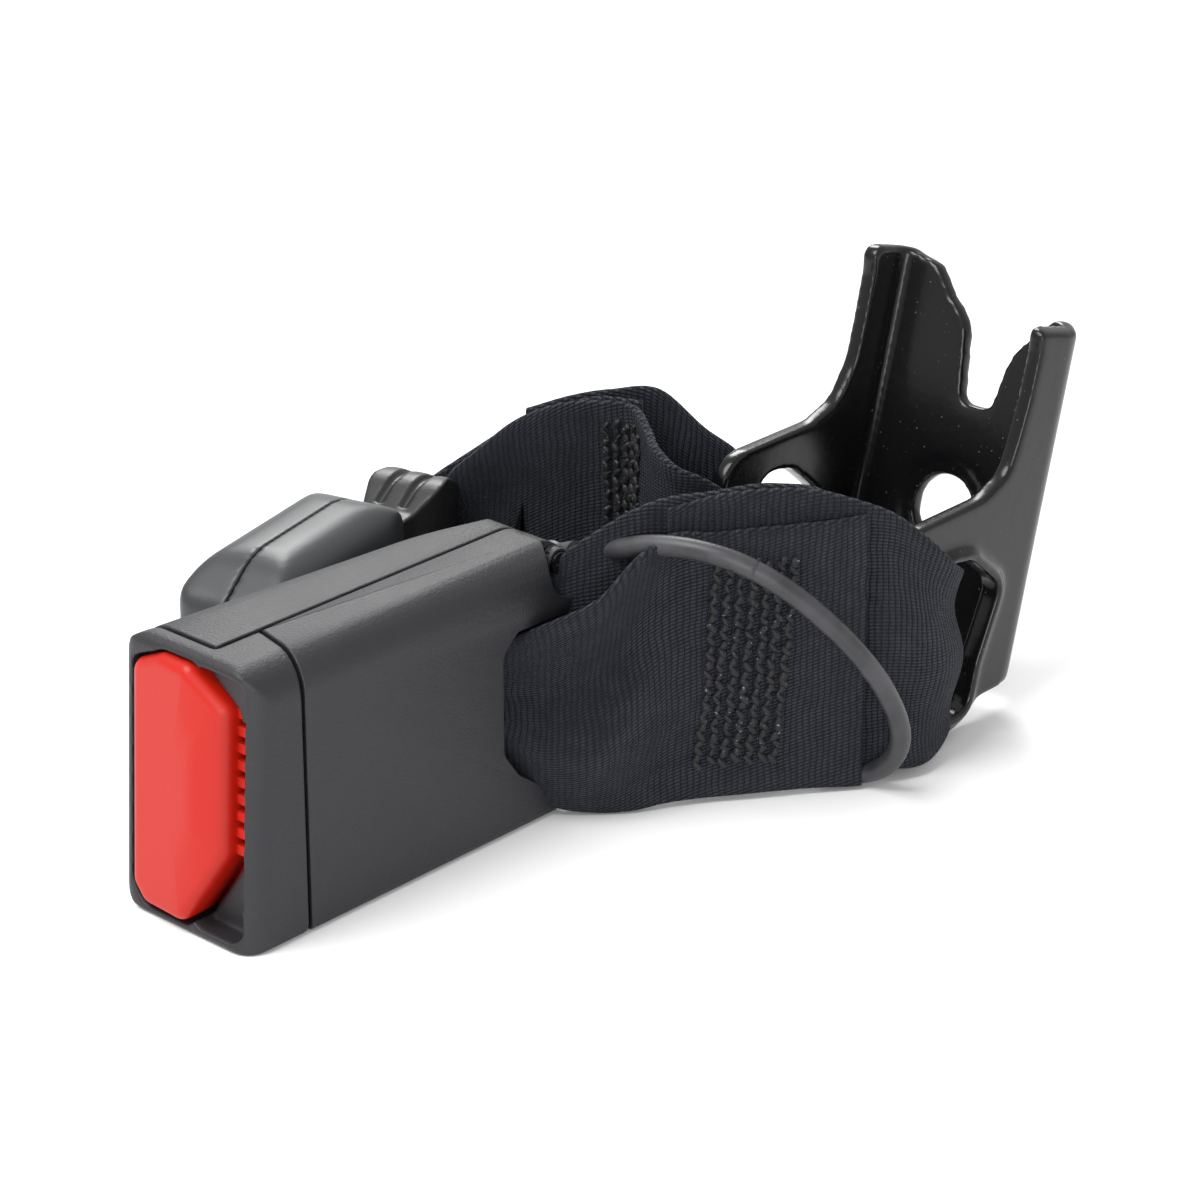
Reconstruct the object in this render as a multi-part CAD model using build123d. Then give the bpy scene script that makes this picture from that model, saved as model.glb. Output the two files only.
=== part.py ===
from build123d import *
from math import atan2, cos, degrees, pi, radians, sin, tan
import os

# A rear-bench seat belt anchor: one stamped steel bracket carries two stitched webbing straps, and each
# strap ends in a press-button buckle. Millimetres. The origin is the centre of the anchor bolt hole on the
# bracket's seat face, +Z is up, and the assembly lies on a floor HOLE_HEIGHT below the origin. Both buckles
# point towards -X, and the bracket's web leans back towards +X.

# ---------------------------------------------------------------- bracket
SHEET = 3.0                 # thickness of the stamped steel
BRACKET_WIDTH = 40.0        # over the outside of the two wings
BRACKET_BEND = 4.6          # outer radius where the web turns into a wing
WEB_LEAN = 15.0             # degrees the web leans back from upright
HOLE_RADIUS = 6.0           # clearance hole for the anchor bolt
HOLE_HEIGHT = 27.5          # bolt hole above the floor
PAD_RADIUS = 11.0           # embossed seat round the hole
PAD_RISE = 0.6
LEFT_EAR, RIGHT_EAR = 41.2, 36.2        # tops of the two ears, along the web above the hole
WING_FRONT = 46.0           # reach of the wings in front of the hole, at the floor
WING_BASE = 5.0             # the web's foot stands this high above the floor
SLOT_FRONT = 30.0           # webbing slots, in front of the hole
SLOT_LOW = 4.5
SLOT_BAR = 3.0              # corner radius of the slots at the bar that carries the webbing
RIM_WIDTH, RIM_RISE = 1.8, 1.3
# Free edge of each wing from its front corner up to the ear, as (x, height above the floor, corner radius),
# and the back of each wing's slot from its top down.
RIGHT_WING = [(-38.5, 40.0, 6), (-17.5, 40.2, 9), (-11.5, 42.8, 5), (-9.0, 48.0, 8), (-6.6, 54.0, 8),
              (-4.4, 61.5, 6)]
LEFT_WING = [(-38.5, 43.0, 6), (-16.0, 43.1, 9), (-9.4, 45.2, 6), (-5.2, 51.0, 8), (-3.2, 58.0, 8),
             (-1.4, 65.0, 6)]
RIGHT_SLOT = [(-30.0, 32.4, 4), (-21.5, 31.0, 4), (-13.6, 24.2, 3.2), (-19.6, 12.0, 7), (-21.5, SLOT_LOW, 3)]
LEFT_SLOT = [(-30.0, 38.0, 4), (-21.5, 36.6, 4), (-13.6, 29.8, 3.2), (-17.0, 15.0, 7), (-19.0, SLOT_LOW, 3)]
# Edge of the web between the two ears, as (y, distance along the web above the hole, corner radius).
NOTCH = [(17.0, 41.1, 3), (10.2, 39.7, 3), (6.4, 35.1, 4), (4.0, 33.2, 3), (2.2, 30.8, 2.5), (1.4, 25.5, 6),
         (0.5, 18.4, 1.8), (-5.6, 18.6, 1.8), (-6.9, 26.0, 4), (-8.2, 29.2, 3), (-14.3, 35.9, 2),
         (-16.0, 36.3, 2)]

# ---------------------------------------------------------------- webbing
WEBBING_WIDTH = 46.5
EYE_TOP = 31.6              # top of the webbing where it is gathered in a slot
LAYER = 1.3                 # one layer of webbing
STITCHED = 3.8              # three layers sewn together
WEBBING_LIFT = 4.2          # clear of the floor where the cable passes below
NECK_SHARE = 0.32           # share of a strap's run over which it is gathered for the buckle
FLARE_SHARE = 0.26          # share over which it opens out to its full width
GAP = 0.3                   # between pieces that only lie beside each other

# ---------------------------------------------------------------- both buckles
FRAME_SHEET = 1.8           # steel channel inside a buckle
FRAME_SEAT = 1.7            # its base above the outer face of the cover
TONGUE_GAP = 2.5            # room for the belt tongue
TONGUE = 24.0               # height of the front buckle's tongue slot
REAR_TONGUE = 22.0
PIN_RADIUS = 2.5            # webbing pin
PIN_END = 0.7               # how far it stands out of each flange
PIVOT_RADIUS = 1.5          # latch trunnions
RUNNING = 0.06              # radial clearance of a trunnion in its hole
LATCH_SHEET = 2.2
EJECTOR_WIDTH = 16.0
WINDOW = 21.0               # height of the window that the latch drops through
SLIDE_SHEET = 1.8
SPRING_WIRE = 0.5
SEAM = 0.25                 # half the visible joint between housing pieces
LIP = 1.2                   # housing rim round the button
BUTTON_GAP = 0.3

# ---------------------------------------------------------------- cable
CABLE = 3.3                 # diameter
CABLE_SIDES = 12            # flats round its jacket
GLAND_RADIUS = 2.5          # elbow that the cable leaves the buckle through
GLAND_NOSE = 4.0
COIL_RADIUS = 10.0          # to the middle of the coil's windings
COIL_X, COIL_Y = -65.0, 19.5
PLUG_LENGTH, PLUG_WIDTH, PLUG_HEIGHT = 10.0, 7.0, 6.0
CABLE_ROUTE = [             # x, y and the height above the floor
    (-77.9, 5.4, 43.3), (-76.9, -0.2, 45.5), (-74.8, -7.0, 46.2), (-71.3, -14.0, 44.8),
    (-66.5, -20.0, 40.3), (-61.5, -24.0, 34.2), (-57.1, -26.6, 28.3), (-51.8, -27.8, 20.8),
    (-47.6, -28.2, 12.0), (-46.6, -25.6, 5.7), (-47.0, -19.9, 1.65), (-50.0, -13.0, 1.65),
    (-53.5, -6.0, 1.65), (-56.2, 1.5, 1.65), (-56.6, 9.5, 1.65), (-55.2, 17.7, 1.65)]


class Unit:
    """Sizes of one buckle, in its own frame: x back from the button's face, y away from the cover, z up."""

    def __init__(self, **sizes):
        self.__dict__.update(sizes)
        self.base = FRAME_SEAT + FRAME_SHEET            # top of the channel's base
        self.roof = self.base + TONGUE_GAP              # top of the tongue's way
        self.flange_low = self.middle - self.frame_width / 2
        self.flange_high = self.middle + self.frame_width / 2
        self.latch_low = self.roof + 0.4
        self.slide_low = self.latch_low + LATCH_SHEET + 0.6
        self.guide_low = self.flange_low + FRAME_SHEET
        self.guide_high = self.flange_high - FRAME_SHEET

    def place(self):
        return Pos(self.x, self.y, -HOLE_HEIGHT) * Rot(0, 0, self.turn)

    def spot(self, x, y):
        """A point of the buckle in the assembly's plan."""
        point = (self.place() * Pos(x, y, 0)).position
        return Vector(point.X, point.Y, 0)


FRONT = Unit(
    x=-150.5, y=9.3, turn=0.0,
    length=71.0, depth=29.0, height=45.0, wall=1.4, middle=24.0, frame_width=32.0,
    block=9.0, button_travel=5.0, frame_start=12.0, frame_end=48.5, frame_tail=58.0,
    flange_top=12.0,
    window=16.0, window_length=5.5, latch_pivot=40.0, ejector=24.0, ejector_length=9.0, ejector_travel=8.0,
    slide=20.0, slide_length=11.0, rib=34.0, spring_y=17.0, spring_radius=2.4, spring_spread=20.0,
    pin_x=54.0, pin_y=8.0, strap_low=10.5, strap_high=33.5)

REAR = Unit(
    x=-117.9, y=40.1, turn=14.0,
    length=45.0, depth=19.0, height=40.0, wall=1.4, middle=20.0, frame_width=26.0,
    block=6.0, button_travel=4.0, frame_start=10.5, frame_end=34.6, frame_tail=42.9,
    flange_top=13.0,
    window=12.0, window_length=5.0, latch_pivot=31.0, ejector=18.5, ejector_length=5.5, ejector_travel=5.0,
    slide=14.0, slide_length=8.5, rib=27.5, spring_y=14.2, spring_radius=1.8, spring_spread=16.0,
    pin_x=40.0, pin_y=9.5, strap_low=9.2, strap_high=30.8)


# ---------------------------------------------------------------- helpers
def outline(points, radii):
    """A face in XY with rounded corners, each radius held to what its two sides allow."""
    corners = [Vector(*point) for point in points]
    count = len(corners)
    radii = [radii] * count if isinstance(radii, (int, float)) else radii
    arcs = []
    for i, corner in enumerate(corners):
        before = corners[i - 1] - corner
        after = corners[(i + 1) % count] - corner
        half = radians(before.get_angle(after)) / 2
        reach = min(radii[i] / tan(half), 0.49 * before.length, 0.49 * after.length)
        radius = reach * tan(half)
        bisector = (before.normalized() + after.normalized()).normalized()
        start = corner + before.normalized() * reach
        stop = corner + after.normalized() * reach
        arcs.append(ThreePointArc(start, corner + bisector * (radius / sin(half) - radius), stop))
    joins = [Line(arcs[i - 1] @ 1, arcs[i] @ 0) for i in range(count)]
    return make_face(arcs + joins)


def plan(points, radii, low, high):
    """A prism that stands up from a plan view (x, y)."""
    return Pos(0, 0, low) * extrude(outline(points, radii), high - low)


def side(points, radii, low, high):
    """A prism from a side view (x, z), between two values of y."""
    return Pos(0, low, 0) * extrude(Plane.XZ * outline(points, radii), -(high - low))


def end(points, radii, low, high):
    """A prism from an end view (y, z), between two values of x."""
    return Pos(low, 0, 0) * extrude(Plane.YZ * outline(points, radii), high - low)


def block(x, y, z):
    """A box from three (low, high) pairs."""
    size = [high - low for low, high in (x, y, z)]
    middle = [(high + low) / 2 for low, high in (x, y, z)]
    return Pos(*middle) * Box(*size)


def rod(start, axis, radius, length):
    """A cylinder from its start point along X, Y or Z."""
    turn = {"x": Rot(0, 90, 0), "y": Rot(-90, 0, 0), "z": Rot(0, 0, 0)}[axis]
    return Pos(*start) * turn * Pos(0, 0, length / 2) * Cylinder(radius, length)


def coil_spring(radius, length, turns, sides=7):
    """A compression spring along +X with a square wire, as one closed shell of flat facets."""
    def corner(step, out, along):
        angle = 2 * pi * step / sides
        x = along + (length - SPRING_WIRE) * step / (turns * sides)
        r = radius + out
        return (x, r * cos(angle), r * sin(angle))

    half = SPRING_WIRE / 2
    section = [(-half, 0), (half, 0), (half, SPRING_WIRE), (-half, SPRING_WIRE)]
    rings = [[corner(step, *point) for point in section] for step in range(turns * sides + 1)]
    faces = [Face(Wire.make_polygon(rings[0])), Face(Wire.make_polygon(rings[-1]))]
    for near, far in zip(rings, rings[1:]):
        for i in range(4):
            a, b, c, d = near[i], near[(i + 1) % 4], far[(i + 1) % 4], far[i]
            faces.append(Face(Wire.make_polygon([a, b, c])))
            faces.append(Face(Wire.make_polygon([a, c, d])))
    return Solid(Shell(faces))


nodes = {}


def route_point(i):
    x, y, height = CABLE_ROUTE[i]
    return Vector(x, y, height - HOLE_HEIGHT)


def keep(name, shape, place=None):
    """File a finished piece under its node name."""
    nodes[name] = (place or Location()) * shape


# ---------------------------------------------------------------- bracket
def lean(x, s):
    """A point given by its distance out of the web and along it, in the XZ plane."""
    a = radians(WEB_LEAN)
    return x * cos(a) + s * sin(a), -x * sin(a) + s * cos(a)


def above(height):
    return height - HOLE_HEIGHT


def along(start, stop):
    """A place at one point in plan whose X axis runs to another."""
    way = stop - start
    return Pos(start.X, start.Y, 0) * Rot(0, 0, degrees(atan2(way.Y, way.X)))


def wing_slot(hand, grow=0):
    """Opening that the webbing passes through, in the side view of one wing."""
    points = [(-SLOT_FRONT, SLOT_LOW, SLOT_BAR)] + (RIGHT_SLOT if hand < 0 else LEFT_SLOT)
    face = outline([(x, above(height)) for x, height, radius in points], [radius for x, height, radius in points])
    return offset(face, grow) if grow else face


def wing(hand):
    """Side view of one half of the bracket: the wing's free edge, the ear's top and the foot."""
    edge = RIGHT_WING if hand < 0 else LEFT_WING
    ear = RIGHT_EAR if hand < 0 else LEFT_EAR
    top = [(x, (ear - x * sin(radians(WEB_LEAN))) / cos(radians(WEB_LEAN))) for x in (edge[-1][0] + 0.4, WING_FRONT)]
    points = [(-WING_FRONT, above(0))] + [(x, above(height)) for x, height, radius in edge] + top
    points += [(WING_FRONT, above(WING_BASE)), (-17, above(WING_BASE)), (-22, above(1.6)), (-30, above(0))]
    return outline(points, [10] + [radius for x, height, radius in edge] + [4, 0.5, 0.5, 6, 6, 3])


def bracket():
    """U-shaped channel with a leaning web, two ears above and a webbing slot in each wing."""
    half = BRACKET_WIDTH / 2
    web_out, web_in = -PAD_RISE, -PAD_RISE - SHEET
    reach = -1.6 * WING_FRONT
    inner_bend = BRACKET_BEND - SHEET
    channel = outline(
        [(reach, half), (web_out, half), (web_out, -half), (reach, -half),
         (reach, SHEET - half), (web_in, SHEET - half), (web_in, half - SHEET), (reach, half - SHEET)],
        [0.5, BRACKET_BEND, BRACKET_BEND, 0.5, 0.5, inner_bend, inner_bend, 0.5])
    upright = Rot(0, WEB_LEAN, 0)
    body = upright * Pos(0, 0, -1.5 * HOLE_HEIGHT) * extrude(channel, 1.5 * HOLE_HEIGHT + LEFT_EAR + 5)
    sides = extrude(Plane.XZ * wing(-1), half + 1) + extrude(Plane.XZ * wing(1), -half - 1)
    body &= sides

    web = Plane(origin=(0, 0, 0), x_dir=(0, 1, 0), z_dir=(lean(1, 0)[0], 0, lean(1, 0)[1]))
    top = LEFT_EAR + 10
    points = [(17.0, top, 0.5)] + NOTCH + [(-half - 2, RIGHT_EAR - 1.8, 0.5), (-half - 2, top, 0.5)]
    notch = outline([(y, s) for y, s, radius in points], [radius for y, s, radius in points])
    body -= web * Pos(0, 0, -20) * extrude(notch, 40)

    out = upright * Rot(0, 90, 0)
    body += out * Pos(0, 0, web_out / 2) * Cylinder(PAD_RADIUS, PAD_RISE)
    body -= out * Pos(0, 0, web_in + PAD_RISE / 2) * Cylinder(PAD_RADIUS - 2, PAD_RISE)
    body -= out * Cylinder(HOLE_RADIUS, 20)

    for hand in (-1, 1):
        rim = extrude(Plane.XZ * wing_slot(hand, RIM_WIDTH), -hand * (RIM_RISE + 1))
        rim = Pos(0, hand * (half - 1), 0) * rim
        outer = rim.faces().sort_by(Axis.Y)[0 if hand < 0 else -1]
        body += fillet(outer.edges(), 0.8 * RIM_RISE)
    for hand in (-1, 1):
        body -= Pos(0, hand * (half + 5), 0) * extrude(Plane.XZ * wing_slot(hand), hand * (half + 5))
    keep("bracket", body)


# ---------------------------------------------------------------- webbing
def eye(name, hand, points, swing, lifted):
    """The end of a strap's loop, round the bar of one wing and through its slot."""
    ring = outline(points, 2.5)
    band = offset(ring, LAYER / 2) - offset(ring, -LAYER / 2)
    front = min(x for x, y in points) - LAYER
    back = max(x for x, y in points) + LAYER
    low, high = above(SLOT_LOW + 1), above(EYE_TOP)
    shape = [(front, above(lifted)), (front, above(WEBBING_WIDTH)), (-SLOT_FRONT - 12, above(WEBBING_WIDTH)),
             (-SLOT_FRONT - 1.5, high), (back, high), (back, low), (-SLOT_FRONT - 1.5, low)]
    wide = BRACKET_WIDTH
    low_y, high_y = sorted((0, hand * wide))
    body = extrude(band, 2 * HOLE_HEIGHT)
    body = Pos(0, 0, -HOLE_HEIGHT) * body & side(shape, [1, 2, 4, 4, 1, 1, 4], low_y, high_y)
    body -= rod((*swing, -2 * HOLE_HEIGHT), "z", STITCHED / 2 + GAP, 4 * HOLE_HEIGHT)
    keep(name, body)


FRONT_SWING = (-WING_FRONT - 5, 3.5 - BRACKET_WIDTH / 2)      # where each strap bends as it swings
REAR_SWING = (-SLOT_FRONT - 6, 13 + BRACKET_WIDTH / 2)


def webbing_eyes():
    half = BRACKET_WIDTH / 2
    bar = half - SHEET
    tip, slot = -WING_FRONT, -SLOT_FRONT
    eye("front_webbing_eye", -1,
        [(tip - 3.2, -bar - 0.5), (tip + 4.5, -half - 4), (slot - 2, -half - 4.2), (slot + 3.5, -half - 1),
         (slot + 3.5, -bar + 1), (slot - 1, -bar + 3.2), (tip + 3, -bar + 3)], FRONT_SWING, WEBBING_LIFT)
    eye("rear_webbing_eye", 1,
        [(slot - 6.5, half + 11.2), (slot + 3, half + 9), (slot + 5.5, half + 1), (slot + 5.5, bar - 1),
         (slot, bar - 3.2), (tip + 2, bar - 3), (tip - 3, bar + 1), (tip - 0.5, half + 4)], REAR_SWING, 0.4)


def strap(name, unit, swing, waist, lift):
    """A stitched strap: a loop round the buckle's pin, a gathered neck, and the full width up to its bend.

    waist is how far the neck runs straight on behind the pin before it turns towards the bracket."""
    low, high = above(unit.strap_low), above(unit.strap_high)
    floor, top = above(0.4), above(WEBBING_WIDTH)
    loop = PIN_RADIUS + GAP + 1.5 * LAYER
    thick = STITCHED / 2
    start = unit.spot(unit.pin_x, unit.pin_y)
    turn = unit.spot(unit.pin_x + waist, unit.pin_y)
    stop = Vector(*swing, 0)
    body = rod((start.X, start.Y, low), "z", loop, high - low)
    if waist:
        neck = (turn - start).length
        shape = [(0, -thick), (neck, -thick), (neck, thick), (0, thick)]
        body += along(start, turn) * plan(shape, 0.1, low, high)
        body += rod((turn.X, turn.Y, low), "z", thick, high - low)
    run = (stop - turn).length
    root = 1.15 * thick if waist else 0.93 * loop
    taper = run * NECK_SHARE
    shape = [(0, -root), (taper, -thick), (run, -thick), (run, thick), (taper, thick), (0, root)]
    leaf = plan(shape, 0.1, floor, top) + rod((run, 0, floor), "z", thick, top - floor)
    narrow = 4.0 if waist else taper
    wide = narrow + run * FLARE_SHARE
    view = [(-9, low), (-9, high), (narrow, high), (wide, top), (run + 5, top), (run + 5, above(lift)),
            (run - 7, above(lift)), (run - 11, floor), (wide, floor), (narrow, low)]
    leaf &= side(view, 1.5, -9, 9)
    body += along(turn, stop) * leaf
    body -= rod((start.X, start.Y, 2 * low), "z", PIN_RADIUS + GAP, 4 * HOLE_HEIGHT)
    keep(name, body)


# ---------------------------------------------------------------- inside a buckle
def frame(u, name):
    """Steel channel: a base with a window for the latch and a slot for the ejector, between two flanges."""
    low, high = u.flange_low, u.flange_high
    top = u.flange_top
    body = block((u.frame_start, u.frame_end), (FRAME_SEAT, u.base), (low, high))
    view = [(u.frame_start + 2, FRAME_SEAT), (u.latch_pivot + 3, FRAME_SEAT), (u.frame_tail, u.pin_y - 3.2),
            (u.frame_tail, top), (u.frame_start + 8, top), (u.frame_start + 2, u.base + 1)]
    for z in (low, high - FRAME_SHEET):
        body += plan(view, [1, 6, 2, 3, 5, 2], z, z + FRAME_SHEET)
    body += block((u.frame_end - 1.5, u.frame_end), (FRAME_SEAT, u.roof), (u.middle - 4, u.middle + 4))
    body -= block((u.window, u.window + u.window_length), (0, 5),
                  (u.middle - WINDOW / 2, u.middle + WINDOW / 2))
    slot_start = u.window + u.window_length + 1
    body -= block((slot_start, u.frame_end - 1.5), (0, u.base), (u.middle - 2.7, u.middle + 2.7))
    body -= rod((u.latch_pivot, u.latch_low + LATCH_SHEET / 2, 0), "z", PIVOT_RADIUS + RUNNING, 60)
    body -= rod((u.pin_x, u.pin_y, 0), "z", PIN_RADIUS, 60)
    keep(name + "_frame", body, u.place())
    pin = rod((u.pin_x, u.pin_y, low - PIN_END), "z", PIN_RADIUS, high - low + 2 * PIN_END)
    keep(name + "_webbing_pin", pin, u.place())


def latch(u, name):
    """Forked plate on two trunnions; its nose drops through the frame's window to hold a tongue."""
    low, high = u.guide_low + 0.4, u.guide_high - 0.4
    top = u.latch_low + LATCH_SHEET
    nose = u.window + 0.8
    pivot_y = u.latch_low + LATCH_SHEET / 2
    half = WINDOW / 2 - 0.5
    body = block((nose + 2.8, u.latch_pivot + 1.4), (u.latch_low, top), (low, high))
    body += block((nose, nose + 3), (u.latch_low, top), (u.middle - half, u.middle + half))
    arms = EJECTOR_WIDTH / 2 + 0.5
    body -= block((nose + 4.7, u.latch_pivot + 5), (0, 20), (u.middle - arms, u.middle + arms))
    hook = [(nose, u.latch_low - 0.2), (nose + 2, u.latch_low - 0.2), (nose + 3.4, top), (nose, top)]
    body += plan(hook, 0.1, u.middle - half, u.middle + half)
    for start in (u.flange_low + 0.2, high - 1):
        stop = u.guide_low + 1.4 if start < u.middle else u.flange_high - 0.2
        body += rod((u.latch_pivot, pivot_y, start), "z", PIVOT_RADIUS, stop - start)
    keep(name + "_latch", body, u.place())


def ejector(u, name):
    """Plastic block that a tongue pushes back, with its guide in the frame's slot, and its spring."""
    half = EJECTOR_WIDTH / 2
    body = block((u.ejector, u.ejector + u.ejector_length), (u.base + 0.15, u.roof - 0.15),
                 (u.middle - half, u.middle + half))
    body += block((u.ejector, u.ejector + u.ejector_length), (FRAME_SEAT + 0.2, u.base + 0.2),
                  (u.middle - 2.4, u.middle + 2.4))
    keep(name + "_ejector", body, u.place())
    start = u.ejector + u.ejector_length
    spring = coil_spring(1.6, u.frame_end - 1.5 - start, 6)
    keep(name + "_ejector_spring", Pos(start, FRAME_SEAT + 2.3, u.middle) * spring, u.place())


def lock_slide(u, name):
    """Plate that lies over the latch and is drawn back by the button."""
    y = (u.slide_low, u.slide_low + SLIDE_SHEET)
    low, high = u.guide_low + 0.6, u.guide_high - 0.6
    body = block((u.slide, u.slide + u.slide_length), y, (low, high))
    body -= block((u.slide + 3, u.slide + u.slide_length - 2.5), (0, 20), (u.middle - 5, u.middle + 5))
    for z in (low, high - 3):
        body += block((u.slide, u.slide + 2), (y[0], y[1] + 1.2), (z, z + 3))
    keep(name + "_lock_slide", body, u.place())


def button_springs(u, name):
    """Two springs between the button and the rib across the shell."""
    length = u.rib - u.block
    pair = []
    for hand in (-1, 1):
        z = u.middle + hand * u.spring_spread / 2
        pair.append(Pos(u.block, u.spring_y, z) * coil_spring(u.spring_radius, length, 6))
    keep(name + "_button_springs", Compound(pair), u.place())


def button_legs(u):
    """Two legs that reach from the button's block back to the lock slide."""
    y = (u.slide_low, u.slide_low + SLIDE_SHEET)
    legs = []
    for z in (u.guide_low + 0.6, u.guide_high - 3.6):
        legs.append(block((u.block - 1, u.slide), y, (z, z + 3)))
    return legs


# ---------------------------------------------------------------- front buckle
FRONT_SEAM = 12.0           # plane between cover and shell
FRONT_WALL = 2.0            # far wall, top and bottom
FRONT_EDGE = 6.0            # rounding of the near long edges
FAR_EDGE = 6.0              # rounding of the far long edges
FOOT_EDGE = 1.5             # rounding of the near long edge at the foot
NOSE = 2.8                  # how far the face leans forward at its foot
BEZEL = 4.0                 # depth of the bezel ring
GROOVE_NEAR, GROOVE_FAR = 9.6, 12.6     # joint between collar and cover, at its two ends
SLOT_FACE = 2.4             # rim beside the tongue's slot
BUTTON_NEAR = 4.9           # button's edge beside the slot
BUTTON_RIM = 1.6            # housing left above and below the button
TAIL_STEP = 6.0             # lower half of the back end, ahead of the upper half
SCREW_IN, SCREW_DOWN = 4.0, 4.2         # cover screw from the back end and from the top
SCREW_BOSS = 2.3
SCREW_HEAD, SCREW_SHANK = 1.8, 1.0
SCREW_SINK = 3.0            # the boss stands this far back from the cover's face
SCOOP = 4.6                 # radius of the hollow in the cover round the boss
GLAND_Y, GLAND_DOWN = 8.6, 6.8          # cable gland from the cover's face and from the top
GLAND_REACH = 2.4           # its elbow behind the back end


def front_plan(inset, start, stop, corners):
    """Plan of the buckle between two values of x; the far side runs in one long curve."""
    u = FRONT
    far = [(-5, 0.2), (20, -2.2), (u.length - 16, -5.0), (u.length + 5, -11.0)]
    far = [(x, u.depth + y - inset) for x, y in far]
    first = far[0][1] + (far[1][1] - far[0][1]) * (start + 5) / 25
    last = far[3][1] + (far[2][1] - far[3][1]) * (u.length + 5 - stop) / 21
    return [(start, inset and u.wall), (stop, inset and u.wall), (stop, last), far[2], far[1],
            (start, first)], [corners, corners, 1.6 * corners, 60, 120, corners]


def leaning(points, radii):
    """A prism from a plan view at the top of the face, that reaches forward by NOSE at its foot."""
    rise = Vector(NOSE, 0, FRONT.height)
    foot = Pos(-NOSE, 0, 0) * Pos(*(-0.1 * rise)) * outline(points, radii)
    return extrude(foot, 1.2 * rise.length, dir=rise.normalized())


def front_form(inset, near_edge, far_edge):
    """The buckle's outer form, or its hollow when inset, longer than the buckle at both ends."""
    u = FRONT
    body = plan(*front_plan(inset, -7, u.length + 4, 0.1), inset, u.height - inset)
    body &= block((-6, u.length + 3), (-5, u.depth + 5), (-1, u.height + 1))
    far = [e for e in body.edges() if abs((e @ 1).X - (e @ 0).X) > 1 and e.center().Y > FRONT_SEAM]
    body = fillet(far, far_edge)
    near = [e for e in body.edges() if e.length > u.length and e.center().Y < FRONT_SEAM]
    body = fillet([e for e in near if e.center().Z > u.height / 2], near_edge)
    near = [e for e in body.edges() if e.length > u.length and e.center().Y < FRONT_SEAM]
    return fillet([min(near, key=lambda e: e.center().Z)], FOOT_EDGE - 0.4 * bool(inset))


def front_button_outline():
    """Outline of the button in the buckle's face (y, z): full height at the far side, cut off at both
    corners beside the slot."""
    u = FRONT
    far = u.depth - 3.2
    top = u.height - BUTTON_RIM
    return [(far - 3, BUTTON_RIM), (far, BUTTON_RIM + 3), (far, top - 2.8), (19, top), (12.8, top), (BUTTON_NEAR, top - 5.8),
            (BUTTON_NEAR, BUTTON_RIM + 12), (13.4, BUTTON_RIM)]


def gland_plane():
    """Where the elbow starts, turned towards the first point of the cable's route."""
    u = FRONT
    start = (u.place() * Pos(u.length + GLAND_REACH, GLAND_Y, u.height - GLAND_DOWN)).position
    return Plane(origin=start, z_dir=(route_point(0) - start).normalized())


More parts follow.
